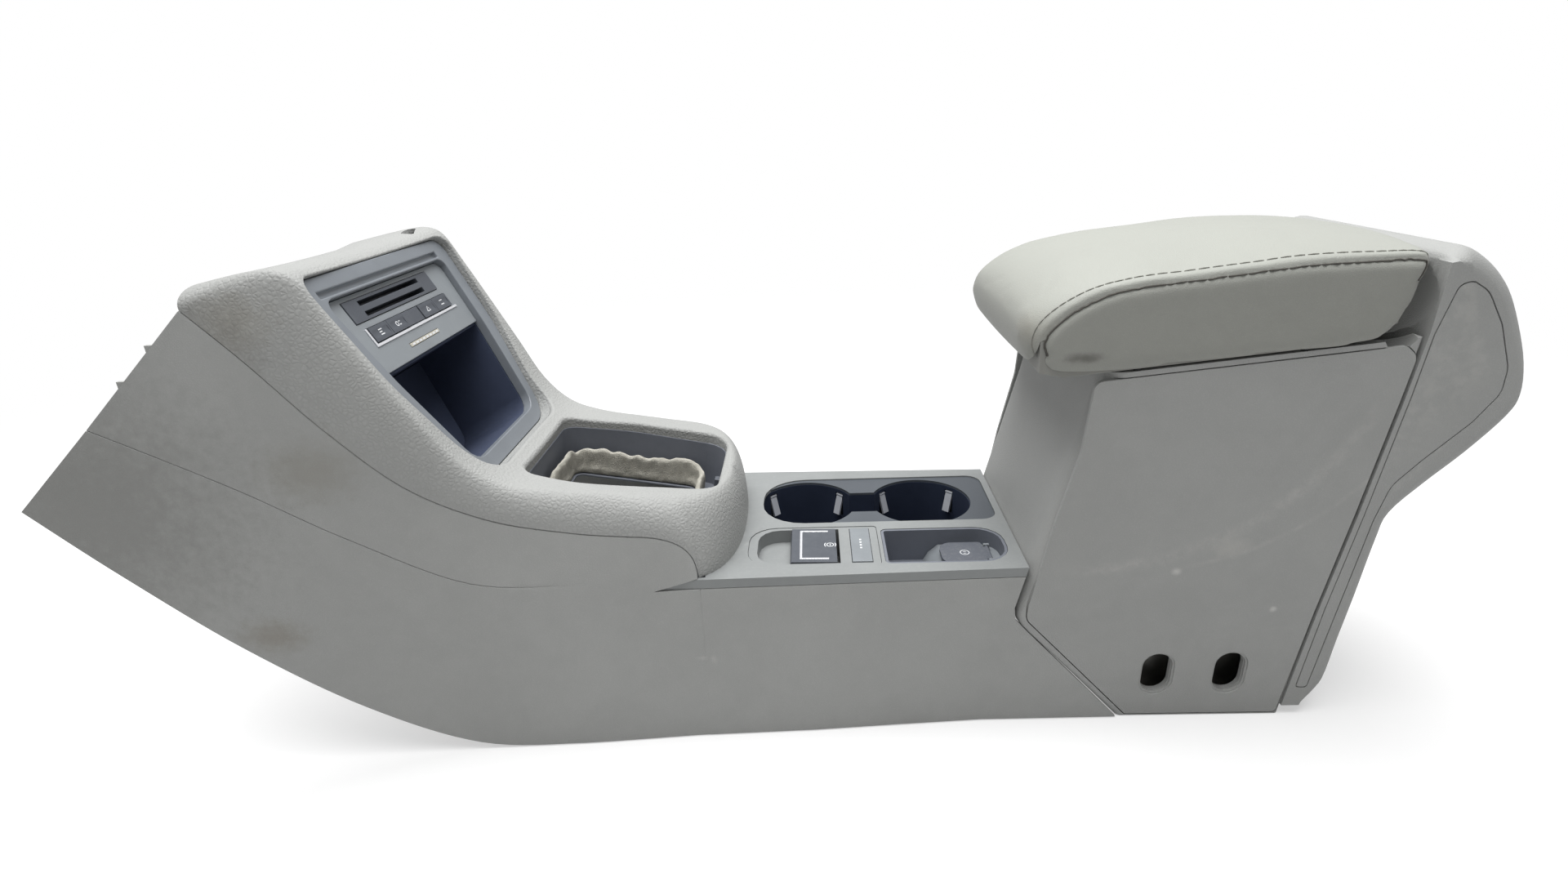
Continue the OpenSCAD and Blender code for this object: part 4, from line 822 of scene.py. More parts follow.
faceFrame = slopeFrame(faceTop, faceLow)
shiftFrame = slopeFrame(shiftStart, shiftEnd)
bezel = {"seat": -9, "low": 157, "rise": 6, "top": 100, "bottom": 66, "corners": [12, 120, 24, 24, 120, 12],
         "window": -2.3, "collar": 4.4}
bezelMid = mix(bezel["top"], bezel["bottom"], 0.28)
shifter = {"half": 59.8, "length": 136.2, "rimW": 4.8, "rimH": -4.1, "corners": [11, 150, 20, 20, 150, 11]}
recess = {"place": (-0.283, 0.082, 0.345), "turn": 18, "lean": -14, "width": 9, "length": 26, "depth": 15}


def bezelOutline(grow):
    half = [(-bezel["rise"] - grow, bezel["top"] + grow), (bezel["low"] * 0.45, bezelMid + 1.5 + grow),
            (bezel["low"] + grow, bezel["bottom"] + grow)]
    return roundedOutline(bothHalves(half), bezel["corners"])


def shiftOutline(grow):
    half, length = shifter["half"], shifter["length"]
    side = [(-grow, half - 5 + grow), (length * 0.38, half + 1 + grow), (length + grow, half - 9 + grow)]
    return roundedOutline(bothHalves(side), shifter["corners"])


lip = {"pitch": 3.0, "probe": 0.04, "degrees": (7, 20, 34, 48, 62, 76, 90), "aside": -0.7, "above": -1.2}


def lipCutter(name, outline, frameAt, skin, radius):
    # takes the corner between the skin and an opening's wall down to a round
    points = spaced(outline, lip["pitch"])
    inverse = frameAt.inverted()
    down = (frameAt.to_3x3() @ Vector((0, 0, -1))).normalized()

    def skinHeight(x, y):
        start = frameAt @ Vector((x * mm, y * mm, lip["probe"]))
        hit = skin.ray_cast(start, down)[0]
        return (inverse @ hit).z * metre
    area = sum(a[0] * b[1] - b[0] * a[1] for a, b in zip(points, points[1:] + points[:1]))
    side = 1 if area > 0 else -1
    angles = [math.radians(a) for a in lip["degrees"]]
    profile = [(1 - math.sin(a), 1 - math.cos(a)) for a in angles]
    profile += [(lip["aside"], 1.0), (lip["aside"], lip["above"]), (profile[0][0], lip["above"])]
    rings = []
    for i, (x, y) in enumerate(points):
        before, after = points[i - 1], points[(i + 1) % len(points)]
        run = Vector((after[0] - before[0], after[1] - before[1])).normalized()
        ox, oy = run.y * side, -run.x * side
        h0 = skinHeight(x, y)
        h1 = skinHeight(x + ox * radius, y + oy * radius)
        ring = []
        for a, b in profile:
            spot = Vector((x + ox * radius * a, y + oy * radius * a, h0 + (h1 - h0) * a - radius * b)) * mm
            ring.append([c * metre for c in frameAt @ spot])
        rings.append(ring)
    return skinOver(name, rings, capped=False)


def makeSurround():
    outer = surroundRings(by=0, sink=0, steps=4, arcs=16, deck=18, noseRings=24)
    shell = skinOver("surroundSkin", outer)
    skin = surfaceOf(shell)
    seat, through = bezel["seat"], 30
    faceLip = lipCutter("faceLip", bezelOutline(gap), faceFrame, skin, surround["faceLip"])
    shiftLip = lipCutter("shiftLip", shiftOutline(0), shiftFrame, skin, surround["lipRadius"])
    inner = surroundRings(by=wall, sink=surround["liningSink"], steps=2, arcs=6, deck=6, noseRings=9)
    hollow = skinOver("hollow", [[(x - 8, y, z + 2) for x, y, z in inner[0]]] + inner)
    carve(hollow, prism("faceCollar", bezelOutline(bezel["collar"]), seat - 2.5, 8, faceFrame),
          prism("shiftCollar", shiftOutline(shifter["rimW"]), shifter["rimH"], 12, shiftFrame))
    recessAt = (Matrix.Translation(recess["place"]) @ Matrix.Rotation(math.radians(recess["turn"]), 4, "Z")
                @ Matrix.Rotation(math.radians(recess["lean"]), 4, "Y"))
    pocket = ovalOutline(recess["width"], recess["length"])
    carve(shell, hollow, prism("faceOpening", bezelOutline(gap), seat, through, faceFrame),
          prism("faceWindow", bezelOutline(bezel["window"]), -through, seat + 1.1, faceFrame),
          prism("shiftOpening", shiftOutline(0), -through, through, shiftFrame),
          prism("cornerRecess", pocket, -recess["depth"], recess["depth"], recessAt), faceLip, shiftLip)
    tidyMesh(shell, cutJoin)
    place(softened(dress(shell, "surround"), crisp=38), "console", "shell_grey", "front_surround")


makeSurround()
print("front surround done")


# Side panels: seam, crease and floor edge, with rounded rims
ledgeFrontW, ledgeRearW, binX = 89, 83, 180
lobeX = seamRows[10][0]
binFront = [(250, 0), (171.5, 86), (170.4, 96), (179, 130), (205, 225), (212, 266)]
binBack = [(367.5, 0), (376.5, 91), (385.5, 165), (394, 245), (397.5, 283)]
sidePanel = {"lipZ": 121, "rim": 1.1, "creaseSoft": (2.5, 12), "creaseLine": 0.7, "lineEnd": 5.2,
             "lineFade": 1.2, "steps": 8, "lowCrease": 0.04, "beyond": 400,
             "floorW": [(-48, 97), (29, 93.5), (90, 89), (150, 85), (256, 84)],
             "places": [-34, -20, 5, 29, 60, 90, 120, 150, 175, 200, 228, 256],
             "tongueTip": -77, "tongueSlope": 7, "pin": (-0.436, -0.119, 0.150), "pinRadius": 3,
             "tabs": (0.32, 0.62)}


def ledgeW(x):
    return mix(ledgeFrontW, ledgeRearW, (x - noseX) / (binX - noseX))


def panelRing(top, crease, low, soft, line=0.0):
    # top, crease and low as x, z and half width; soft rounds the crease, line sinks it
    t, c, b = [Vector((p[0], -p[2], p[1])) for p in (top, crease, low)]
    down, on = (c - t).normalized(), (b - c).normalized()
    inward = Vector((0, 1, 0))
    rim = sidePanel["rim"]
    reach = min(soft, (c - t).length * 0.45, (b - c).length * 0.45)
    a, d = c - down * reach, c + on * reach

    def curve(*places):
        return [a * (1 - k) ** 2 + c * 2 * k * (1 - k) + d * k * k for k in places]
    middle = a * 0.25 + c * 0.5 + d * 0.25
    outer = [t + inward * rim, t + inward * rim * 0.3 + down * rim * 0.3, t + down * rim]
    outer += curve(0, 0.3) + [middle - down * 0.5, middle + inward * line, middle + on * 0.5] + curve(0.7, 1)
    outer += [b - on * rim, b - on * rim * 0.3 + inward * rim * 0.3, b + inward * rim]
    inner = [b + inward * wall, c + inward * wall, t + inward * wall]
    return [tuple(p) for p in outer + inner]


def makeSidePanels():
    look, lipZ, big = sidePanel, sidePanel["lipZ"], sidePanel["beyond"]
    flat = [(p[0], p[1]) for p in seamRows]
    last = len(seamRows) - 1
    rings = []
    for i in range(last * look["steps"] + 1):
        t = i / look["steps"]
        hx, hz = headingAt(flat, t)
        x, z, half = alongRows(seamRows, t)
        low = alongRows(floorRows, t)
        low[1] = max(low[1], 0)
        line = look["creaseLine"] * clamped((look["lineEnd"] - t) / look["lineFade"], 0, 1)
        rings.append(panelRing((x + hz * seamGap, z - hx * seamGap, half), alongRows(creaseRows, t), low,
                               mix(*look["creaseSoft"], t / last), line))
    for x in [lobeX + 0.5] + look["places"]:
        w = lookUp(x, look["floorW"])
        crease = (x, mix(lipZ, 0, look["lowCrease"]), mix(ledgeW(x), w, look["lowCrease"]))
        rings.append(panelRing((x, lipZ, ledgeW(x)), crease, (x, 0, w), 2))
    panel = skinOver("leftPanel", rings)
    tongue = [(look["tongueTip"] - gap * look["tongueSlope"], lipZ - gap), (big, lipZ - gap),
              (big, ledgeZ + gap), (lobeX - 2, ledgeZ + gap)]
    binSide = [(x - gap, z) for x, z in binFront]
    binSide += [(big, binFront[-1][1]), (big, -1), (binFront[0][0] - gap, -1)]
    pinAt = Matrix.Translation(look["pin"]) @ Matrix.Rotation(math.radians(90), 4, "X")
    carve(panel, slab("tongue", tongue, -big, 0), block("above", lobeX - 1, big, -big, 0, lipZ, big),
          slab("binEdge", binSide, -big, 0),
          prism("pinHole", circleOutline(0, 0, look["pinRadius"], 24), -6, 6, pinAt))
    tabs = []
    for share in look["tabs"]:
        x, z, half = [mix(a, b, share) for a, b in zip(seamRows[0], creaseRows[0])]
        tabs.append(block("tab", x - 2.2, x + 4, -half + 0.5, -half + 2.9, z - 3, z + 2.5))
    left = joined("sidePanelLeft", [panel] + tabs)
    placePair(left, mirroredCopy(left, "sidePanelRight"), "side_panel", "sidePanel", crisp=42)


makeSidePanels()
print("side panels done")


# Bin: housing with a soft front corner, flush side panels, and the shell behind it
binLow, binTopW, binH, binTopX, topSlope = 82, 90, 266, 212, 0.093
hinge = {"x": 357, "z": 306, "from": -56, "to": 84, "reach": 94.5, "depth": 39.5, "bulge": 14.5,
         "steps": 48, "across": 16, "padRoom": 32, "padHalf": 84.75}
access = {"x": (275, 326), "z": 37.5, "width": 24, "height": 37}
bolts = {"back": 5, "y": (-67, 67), "radius": 6}
housing = {"levels": [0, 30, 60, 76, 82, 85, 88, 91, 94, 97, 101, 106, 120, 130, 140, 165, 195, 216, 225,
                      234, 250, 266],
           "inside": [0, 86, 96, 130, 225, 266], "wall": 6.5, "floor": 6, "panelGap": 0.35, "swingGap": 1.5,
           "shelf": (338, 410, -100, 100, -13, -10), "rounding": 0.5}


def binTop(x):
    return binH + topSlope * (x - binTopX)


def binW(z):
    return mix(binLow, binTopW, z / binH)


def softLookUp(z, pairs, window):
    # the rows' x at a height, averaged over a window, so that their corners soften
    rows = sorted((b, a) for a, b in pairs)
    spread = [z + window * (k / 4) for k in range(-4, 5)]
    return sum(lookUp(clamped(s, 0, rows[-1][0]), rows) for s in spread) / len(spread)


def binRing(f, by, low=0, corner=12):
    # f is the share of the height, by how far inside the outer skin
    z = f * binH
    x0 = softLookUp(z, binFront, min(5, z, binH - z)) + by
    x1 = softLookUp(z, binBack, 0) - by
    w, r = binW(z) - by, max(lookUp(z, [(80, 4), (100, 16)]) - by, 2.5)
    outline = roundedOutline([(x0, -w), (x1, -w), (x1, w), (x0, w)], [r, 3, 3, r], corner)
    return [(x, y, low if low and f == 0 else f * binTop(x)) for x, y in outline]


sideTilt = math.atan((binTopW - binLow) / binH)
sideFrame = Matrix.Translation((0, -binLow * mm, 0)) @ Matrix.Rotation(sideTilt, 4, "X")
panelRows = [(207, binTop(207) - 4), (203, 214), (191, 163), (179, 97), (178.5, 87), (256.5, 1.5), (365, 1.5),
             (374.5, 91), (383.5, 165), (392, 245), (394.5, 272), (387, binTop(387) - 4)]
panelRadii = [6, 60, 60, 12, 10, 3, 3, 40, 60, 40, 8, 4]


def hingeSweep(name, clear):
    # the room that the lid's rear end passes through as it opens
    shares = [k / hinge["across"] for k in range(-hinge["across"], hinge["across"] + 1)]
    profile = [(hinge["depth"] + hinge["bulge"] * (1 - t * t) + clear, t * hinge["reach"]) for t in shares]
    profile = [(0, -hinge["reach"])] + profile + [(0, hinge["reach"])]
    rings = []
    for i in range(hinge["steps"] + 1):
        turn = math.radians(mix(hinge["from"], hinge["to"], i / hinge["steps"]))
        c, s = math.cos(turn), math.sin(turn)
        rings.append([(hinge["x"] + r * c, y, hinge["z"] + r * s) for r, y in profile])
    return skinOver(name, rings)


def accessCutter(x, inner, y0, y1, side):
    oval = ovalOutline(access["width"] - inner, access["height"] - inner)
    return slab("access", [(x + a, access["z"] + b) for a, b in oval], y0, y1, side @ sideFrame)


def makeHousing():
    look = housing
    shell = skinOver("binHousing", [binRing(z / binH, 0) for z in look["levels"]])
    inner = [binRing(z / binH, look["wall"], look["floor"], 4) for z in look["inside"]]
    hollow = skinOver("binHollow", inner + [[(x, y, z + 4) for x, y, z in inner[-1]]])
    topFrame = (Matrix.Translation((binTopX * mm, 0, binH * mm))
                @ Matrix.Rotation(-math.atan(topSlope), 4, "Y") @ Matrix.Translation((-binTopX * mm, 0, 0)))
    carve(hollow, block("shelf", *look["shelf"], topFrame))
    panelSeat = roundedOutline(grownRows(panelRows, gap + look["panelGap"]), panelRadii)
    cutters = [hollow]
    for side in (asDrawn, mirrorY):
        cutters.append(slab("recess", panelSeat, -5, wall, side @ sideFrame))
        cutters += [accessCutter(x, 4, -20, 20, side) for x in access["x"]]
    cutters.append(hingeSweep("lidSwing", look["swingGap"]))
    padRoom = circleOutline(hinge["x"], hinge["z"], hinge["padRoom"], 64)
    cutters.append(slab("padRoom", padRoom, -hinge["padHalf"], hinge["padHalf"]))
    for x in access["x"]:
        for y in bolts["y"]:
            cutters.append(prism("bolt", circleOutline(x + bolts["back"], y, bolts["radius"], 32), -1, 8))
    carve(shell, *cutters)
    tidyMesh(shell, cutJoin)
    place(softened(dress(shell, "shell"), edge=look["rounding"], crisp=50, flatten=False), "console",
          "shell_grey", "bin_housing")


def makeBinPanels():
    panel = slab("binPanelLeft", roundedOutline(panelRows, panelRadii, 10), 0, wall, sideFrame)
    for x in access["x"]:
        carve(panel, accessCutter(x, 3, -20, 20, asDrawn), accessCutter(x, 0, -9, 1, asDrawn))
    placePair(panel, mirroredCopy(panel, "binPanelRight"), "bin_panel", "binPanel", edge=0.7, crisp=50,
              segments=3)


makeHousing()
makeBinPanels()
print("bin done")

rearRows = [
    (399, 327), (402, 331.5), (413, 334.4), (428.7, 325), (442.4, 310.4), (454, 290.4), (465.2, 265),
    (469.7, 243.6), (465.2, 227.9), (447.2, 203.7), (427.2, 181.7), (411.5, 161.7), (408.3, 143.6),
    (405, 99.3), (401.8, 62.4), (398.9, 26.7), (392.5, 16), (381, 7)]
backSeam = [(368.5, 7), (377, 91), (386, 165), (394.5, 245), (398, 285)]
coverRows = [
    (407, 314), (413.6, 316), (424, 309.6), (437, 290), (449, 262.4), (450, 246.6), (438.5, 228),
    (415.7, 203.2), (401, 185.3), (396, 160), (389.5, 95), (382.5, 24), (375.5, 24), (381.3, 91), (390, 165),
    (398, 245), (401, 285)]
coverRadii = [6, 6, 20, 30, 22, 14, 24, 60, 20, 60, 60, 2.5, 2.5, 60, 60, 30, 10]
rearShell = {"round": 14, "half": 85, "coverDepth": 1.2, "coverGap": 0.8, "swingGap": 0.6,
             "accessPocket": (390, 480, -34.4, 34.4, 39.6, 140.4),
             "fine": [0, 0.15, 0.3, 0.45, 0.6, 0.72, 0.8, 0.835, 0.86, 0.88, 0.9, 0.92, 0.94, 0.955, 0.97,
                      0.98, 0.99, 0.995, 1],
             "coarse": [0, 0.4, 0.835, 0.88, 0.92, 0.955, 0.98, 0.995, 1]}


def rearRing(s, by, steps):
    # one profile at the share s of the half width, rounded in near the sides
    r, half = rearShell["round"], rearShell["half"]
    over = max(abs(s) - (1 - r / half), 0) * half
    e = r - math.sqrt(max(r ** 2 - over ** 2, 0)) + by
    last = len(rearRows) - 1
    ring = []
    for i in range(last * steps + 1):
        t = i / steps
        hx, hz = headingAt(rearRows, t)
        k = min(t / 2, 1) * min((last - t) / 1.5, 1)
        x, z = alongRows(rearRows, t)
        drop = by if i == 0 else 0
        ring.append((x + hz * e * k + drop, s * (binW(z) - by), z - hx * e * k - drop))
    for x, z in backSeam:
        back = 0 if by == 0 else by if z > 280 else -2
        ring.append((x + back, s * (binW(z) - by), z))
    return ring


def rearSolid(name, by, steps, places):
    shares = [-s for s in reversed(places[1:])] + places
    return skinOver(name, [rearRing(s, by, steps) for s in shares])


def coverCutter(grow, side):
    outline = roundedOutline(grownRows(coverRows, -grow), coverRadii)
    return slab("coverPocket", outline, -4, rearShell["coverDepth"], side @ sideFrame)


def makeRearShell():
    look = rearShell
    shell = rearSolid("rearShell", 0, 4, look["fine"])
    cover = copyOf(shell, "rearCoverLeft")
    hollow = rearSolid("rearHollow", wall, 1, look["coarse"])
    carve(hollow, hingeSweep("backWall", wall + look["swingGap"]))
    carve(shell, hollow, hingeSweep("lidSwing", look["swingGap"]), coverCutter(look["coverGap"], asDrawn),
          coverCutter(look["coverGap"], mirrorY), block("accessPocket", *look["accessPocket"]))
    tidyMesh(shell, cutJoin)
    carve(cover, coverCutter(0, asDrawn), how="INTERSECT")
    carve(cover, hingeSweep("lidSwing", look["swingGap"]))
    tidyMesh(cover, cutJoin)
    place(softened(dress(shell, "shell"), edge=0.45, crisp=50, flatten=False), "console", "shell_grey",
          "rear_shell")
    placePair(cover, mirroredCopy(cover, "rearCoverRight"), "rear_cover", "shell", edge=0.4, crisp=50,
              flatten=False)


makeRearShell()
print("rear shell done")


# Armrest: a padded lid, blown up as cloth and sewn along both sides; the rows run round its side in x
# and z, and the lists say how much each row takes of the crown, the rear bow and the front nip
sewn = [(165, 279), (162.4, 286.3), (166.5, 295.8), (181.2, 306.3), (203.3, 315.7), (226.4, 319.9),
        (271.7, 324), (316.9, 328.7), (361.5, 330.4), (379.4, 330.7), (387.7, 329.4), (388.8, 324.1),
        (385.7, 316.7)]
lowerRows = [(381.2, 297.8), (373, 285.5), (360.5, 280), (327.9, 276.9), (280.7, 273.2), (233.4, 269),
             (209.3, 267.2), (184.6, 267.2), (169.4, 270.4)]
lidRows = sewn + lowerRows
crownAt = [0, 0.25, 0.6, 0.85, 0.95, 1, 1, 0.95, 0.75, 0.6, 0.5, 0.3, 0.1] + [0] * 9
backAt = [0] * 8 + [0.1, 0.55, 1, 1, 0.7, 0.2] + [0] * 8
frontAt = [1, 1, 1, 0.8, 0.5, 0.2] + [0] * 13 + [0.2, 0.8, 1]
armrest = {"half": 93.5, "crown": 13, "crownPower": 2.4, "backBow": 12, "frontBow": 2, "frontNip": 10,
           "nipFrom": 0.78, "voxel": 4.5, "shrink": 2.2, "pressure": 4.5, "cap": 2.6, "frames": 20,
           "held": 5.0, "sideHeld": 2, "lowHeld": 0.29, "rearHeld": 0.378,
           "baseGap": 2.9, "grooveDepth": 1.5, "grooveWidth": 2.4,
           "stitchOff": 0.925, "stitchLength": 4.2, "stitchPitch": 5.6, "stitchLift": 0.35, "thread": 0.36,
           "valleyShadow": 0.55, "valleyLift": 0.2, "earSlots": ((51.5, 62.5), (-62.5, -51.5)),
           "places": [0, 0.12, 0.24, 0.36, 0.48, 0.6, 0.7, 0.78, 0.84, 0.89, 0.93, 0.96, 0.98, 0.993, 1]}


def lidRing(t, rows=lidRows):
    # one profile at the share t of the half width
    look = armrest
    full = math.sqrt(max(1 - abs(t) ** look["crownPower"], 0))
    bow = 1 - t * t
    nip = (max(abs(t) - look["nipFrom"], 0) / (1 - look["nipFrom"])) ** 2
    front = look["frontNip"] * nip - look["frontBow"] * bow
    return [(x + backAt[i] * look["backBow"] * bow + frontAt[i] * front, t * look["half"],
             z + crownAt[i] * look["crown"] * full) for i, (x, z) in enumerate(rows)]


def smoothLoop(points, steps):
    looped = points[-2:] + points + points[:3]
    return [tuple(alongRows(looped, 2 + i / steps)) for i in range(len(points) * steps)]


def baseCutter():
    # the room of the lid's hard base
    half = armrest["half"] - armrest["baseGap"]
    outline = [(160, 240), (345, 240), (345, 262), (392, 262), (382, 290), (380, 306), (376, 316), (330, 314),
               (240, 308), (190, 297), (171, 288), (168, 274), (160, 268)]
    return slab("baseCutter", outline, -half, half)


def seamCurve(t, steps=8):
    # the sewn edge on one side, from the front lip to the back
    rows = lidRing(t, sewn)
    return [Vector(alongRows(rows, i / steps)) * mm for i in range((len(rows) - 1) * steps + 1)]


def nearLine(line):
    corners = [tuple(p) for p in line for _ in range(3)]
    return BVHTree.FromPolygons(corners, [(i, i + 1, i + 2) for i in range(0, len(corners), 3)])


def swollen(piece, by):
    swell = piece.modifiers.new("swell", "DISPLACE")
    swell.strength = by * mm
    swell.mid_level = 0.0
    return piece


def blowUp(piece, look):
    # the cloth swells by its pressure between its held edges, and no point moves further than the cap
    remesh = piece.modifiers.new("remesh", "REMESH")
    remesh.mode = "VOXEL"
    remesh.voxel_size = look["voxel"] * mm
    settle(piece)
    swollen(piece, -look["shrink"])
    even = piece.modifiers.new("even", "SMOOTH")
    even.factor = 0.5
    even.iterations = 4
    settle(piece)
    start = [v.co.copy() for v in piece.data.vertices]
    sewing = [nearLine(seamCurve(side)) for side in (-1, 1)]
    sideFrom = look["half"] - look["shrink"] - look["sideHeld"]
    held = piece.vertex_groups.new(name="held")
    for v in piece.data.vertices:
        onSeam = any(tree.find_nearest(v.co, look["held"] * mm)[0] for tree in sewing)
        onSide = abs(v.co.y) * metre > sideFrom
        if onSeam or onSide or v.co.z < look["lowHeld"] or v.co.x > look["rearHeld"]:
            held.add([v.index], 1.0, "REPLACE")
    cloth = piece.modifiers.new("cloth", "CLOTH")
    cloth.settings.quality = 5
    cloth.settings.use_pressure = True
    cloth.settings.uniform_pressure_force = look["pressure"]
    cloth.settings.effector_weights.gravity = 0
    cloth.settings.vertex_group_mass = "held"
    cloth.point_cache.frame_end = look["frames"]
    for f in range(1, look["frames"] + 1):
        scene.frame_set(f)
    settle(piece)
    scene.frame_set(1)
    cap = look["cap"] * mm
    moves = []
    for v, rest in zip(piece.data.vertices, start):
        move = v.co - rest
        if move.length > cap:
            v.co = rest + move * (cap / move.length)
        moves.append((v.co - rest).length * metre)
    moves.sort()
    print("cloth moved, mm:", [round(moves[int(len(moves) * q)], 2) for q in (0.1, 0.5, 0.9, 0.99)])
    return settle(swollen(piece, look["shrink"]))


def groove(piece, line, look):
    tree = nearLine(line)
    reach = look["grooveWidth"] * mm
    normals = [v.normal.copy() for v in piece.data.vertices]
    for v, n in zip(piece.data.vertices, normals):
        away = tree.find_nearest(v.co, reach * 3)[3]
        if away is not None:
            v.co -= n * look["grooveDepth"] * mm * math.exp(-(away / reach) ** 2)


def tubeAlong(name, path, radius, sides=8):
    rings = []
    for i, p in enumerate(path):
        run = (path[min(i + 1, len(path) - 1)] - path[max(i - 1, 0)]).normalized()
        across = run.cross(Vector((0, 1, 0.2))).normalized()
        up = run.cross(across)
        ring = []
        for k in range(sides):
            a = 2 * math.pi * k / sides
            spot = p + (across * math.cos(a) + up * math.sin(a)) * radius * mm
            ring.append([c * metre for c in spot])
        rings.append(ring)
    return skinOver(name, rings)


def stitchRow(name, surface, rail, look):
    # stitches of one length along the rail, with gaps between them
    stitches = []
    walked, start = 0.0, None
    for a, b in zip(rail, rail[1:]):
        walked += (b - a).length * metre
        if start is None:
            start, walked = a, 0.0
        elif walked >= look["stitchLength"]:
            middle, normal = surface.find_nearest((start + a) / 2)[:2]
            lift = normal * look["stitchLift"] * mm
            path = [start - lift, start + lift * 0.4, middle + lift, a + lift * 0.4, a - lift]
            stitches.append(tubeAlong("stitch", path, look["thread"], 6))
            start, walked = None, -(look["stitchPitch"] - look["stitchLength"])
    return joined(name, stitches)


def makeArmrest():
    look = armrest
    shares = [-t for t in reversed(look["places"][1:])] + look["places"]
    pad = skinOver("armrestPad", [smoothLoop(lidRing(t), 3) for t in shares])
    finer(blowUp(pad, look))
    seams = []
    for side, label in ((-1, "Left"), (1, "Right")):
        surface = surfaceOf(pad)
        line = [surface.find_nearest(p)[0] for p in seamCurve(side)]
        groove(pad, line, look)
        seams.append((side, label, line))
    surface = surfaceOf(pad)
    sewing = []
    for side, label, line in seams:
        # each seam gets a dark tube laid along its groove: painted shadow of the seam
        hits = [surface.find_nearest(p) for p in line]
        snug = [hit[0] + hit[1] * look["valleyLift"] * mm for hit in hits]
        sewing.append(dress(tubeAlong("armrestSeamShadow" + label, snug, look["valleyShadow"]), "valleyShadow"))
        rail = [surface.find_nearest(p)[0] for p in seamCurve(side * look["stitchOff"], 24)]
        sewing.append(dress(stitchRow("armrestStitch" + label, surface, rail, look), "thread"))
    carve(pad, baseCutter(), *[block("earSlot", 370, 400, *ys, 250, 310) for ys in look["earSlots"]])
    place(softened(dress(pad, "hide"), crisp=60), "armrest", "lid_leather", "armrest_pad")
    for piece in sewing:
        place(softened(piece, crisp=80), "armrest", "lid_leather")


makeArmrest()
print("armrest done")


# Foam ring torn loose round the selector opening; its section runs up outside and down inside, as
# shares of the width and the height
gasket = {"height": 20.5, "width": 7, "floor": -40, "wave": 5.5, "waveMost": 0.35, "lean": 2.2, "tear": 2.1,
          "section": [(0, 0), (0.02, 0.3), (0, 0.6), (0.04, 0.85), (0.14, 0.97), (0.35, 1.02), (0.55, 0.96),
                      (0.7, 0.9), (0.74, 0.7), (0.8, 0.45), (0.92, 0.3), (1.0, 0.24), (1.0, 0.1), (0.96, 0)]}


def noiseAt(x, y, z, scale):
    return noise.noise(Vector((x, y, z)) * scale)


def makeGasket():
    look = gasket
    half, length = shifter["half"], shifter["length"]
    corners = [(6, -half + 9), (length - 15, -half + 12), (length - 15, half - 12), (6, half - 9)]
    path = spaced(roundedOutline(corners, [14, 16, 16, 14]), 2.2)
    centre = Vector((length / 2 - 5, 0))
    rings = []
    for i, (x, y) in enumerate(path):
        before, after = Vector(path[i - 3]), Vector(path[(i + 3) % len(path)])
        run = (after - before).normalized()
        inward = Vector((-run.y, run.x))
        if inward.dot(centre - Vector((x, y))) < 0:
            inward = -inward
        wave = noiseAt(x, y, 3.0, 0.045) + 0.5 * noiseAt(x, y, 9.0, 0.16)
        top = look["height"] + look["wave"] * min(wave, look["waveMost"])
        lean = look["lean"] * noiseAt(x, y, 21.0, 0.03)
        ring = []
        for u, v in look["section"]:
            spot = Vector((x, y)) + inward * (u * look["width"] + lean * v)
            torn = look["tear"] * (0.25 if v < 0.05 else 1)
            rough = noise.noise_vector(Vector((spot.x, spot.y, v * 20)) * 0.3) * torn
            z = look["floor"] + max(v * top + rough.z * 0.5 * (v > 0.05), 0)
            at = Vector((spot.x + rough.x * 0.6, spot.y + rough.y * 0.6, z)) * mm
            ring.append([c * metre for c in shiftFrame @ at])
        rings.append(ring)
    ring = finer(skinOver("foamGasket", rings, capped=False))
    place(softened(dress(ring, "foam"), crisp=80), "console", "foam", "shift_gasket")


makeGasket()
print("gasket done")


# Pale marks, each a set of strokes laid on the surface that carries it; places and widths in mm
marks = {"sink": -0.15, "stand": 0.05, "keyX": 39.65, "keyPitch": 23.4, "keyMiddle": -0.5, "keyLine": 0.75,
         "signLine": 0.7, "holdLine": 1.5, "lensLine": 1.3}


def printMark(name, carrier, frameAt, strokes, width):
    tree = surfaceOf(nodes[carrier])
    inverse = frameAt.inverted()
    down = (frameAt.to_3x3() @ Vector((0, 0, -1))).normalized()

    def onSurface(x, y, lift):
        hit = tree.ray_cast(frameAt @ Vector((x * mm, y * mm, 0.02)), down)[0]
        spot = inverse @ hit
        return [c * metre for c in frameAt @ Vector((x * mm, y * mm, spot.z + lift * mm))]
    pieces = []
    for stroke in strokes:
        rings = []
        for i, p in enumerate(stroke):
            a, b = stroke[max(i - 1, 0)], stroke[min(i + 1, len(stroke) - 1)]
            run = Vector((b[0] - a[0], b[1] - a[1])).normalized() * width / 2
            left, right = (p[0] - run.y, p[1] + run.x), (p[0] + run.y, p[1] - run.x)
            rings.append([onSurface(*left, marks["sink"]), onSurface(*right, marks["sink"]),
                          onSurface(*right, marks["stand"]), onSurface(*left, marks["stand"])])
        pieces.append(skinOver("stroke", rings))
    mark = softened(dress(joined(name, pieces), "print"), crisp=30)
    place(mark, nodes[carrier]["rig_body"], "chrome_trim")


def arcStroke(x, y, r, start=0, stop=360, steps=20):
    angles = [math.radians(mix(start, stop, k / steps)) for k in range(steps + 1)]
    return [(x + r * math.cos(a), y + r * math.sin(a)) for a in angles]


def dashes(x, first, length, pitch, count):
    return [[(x, first + pitch * k), (x, first + length + pitch * k)] for k in range(count)]


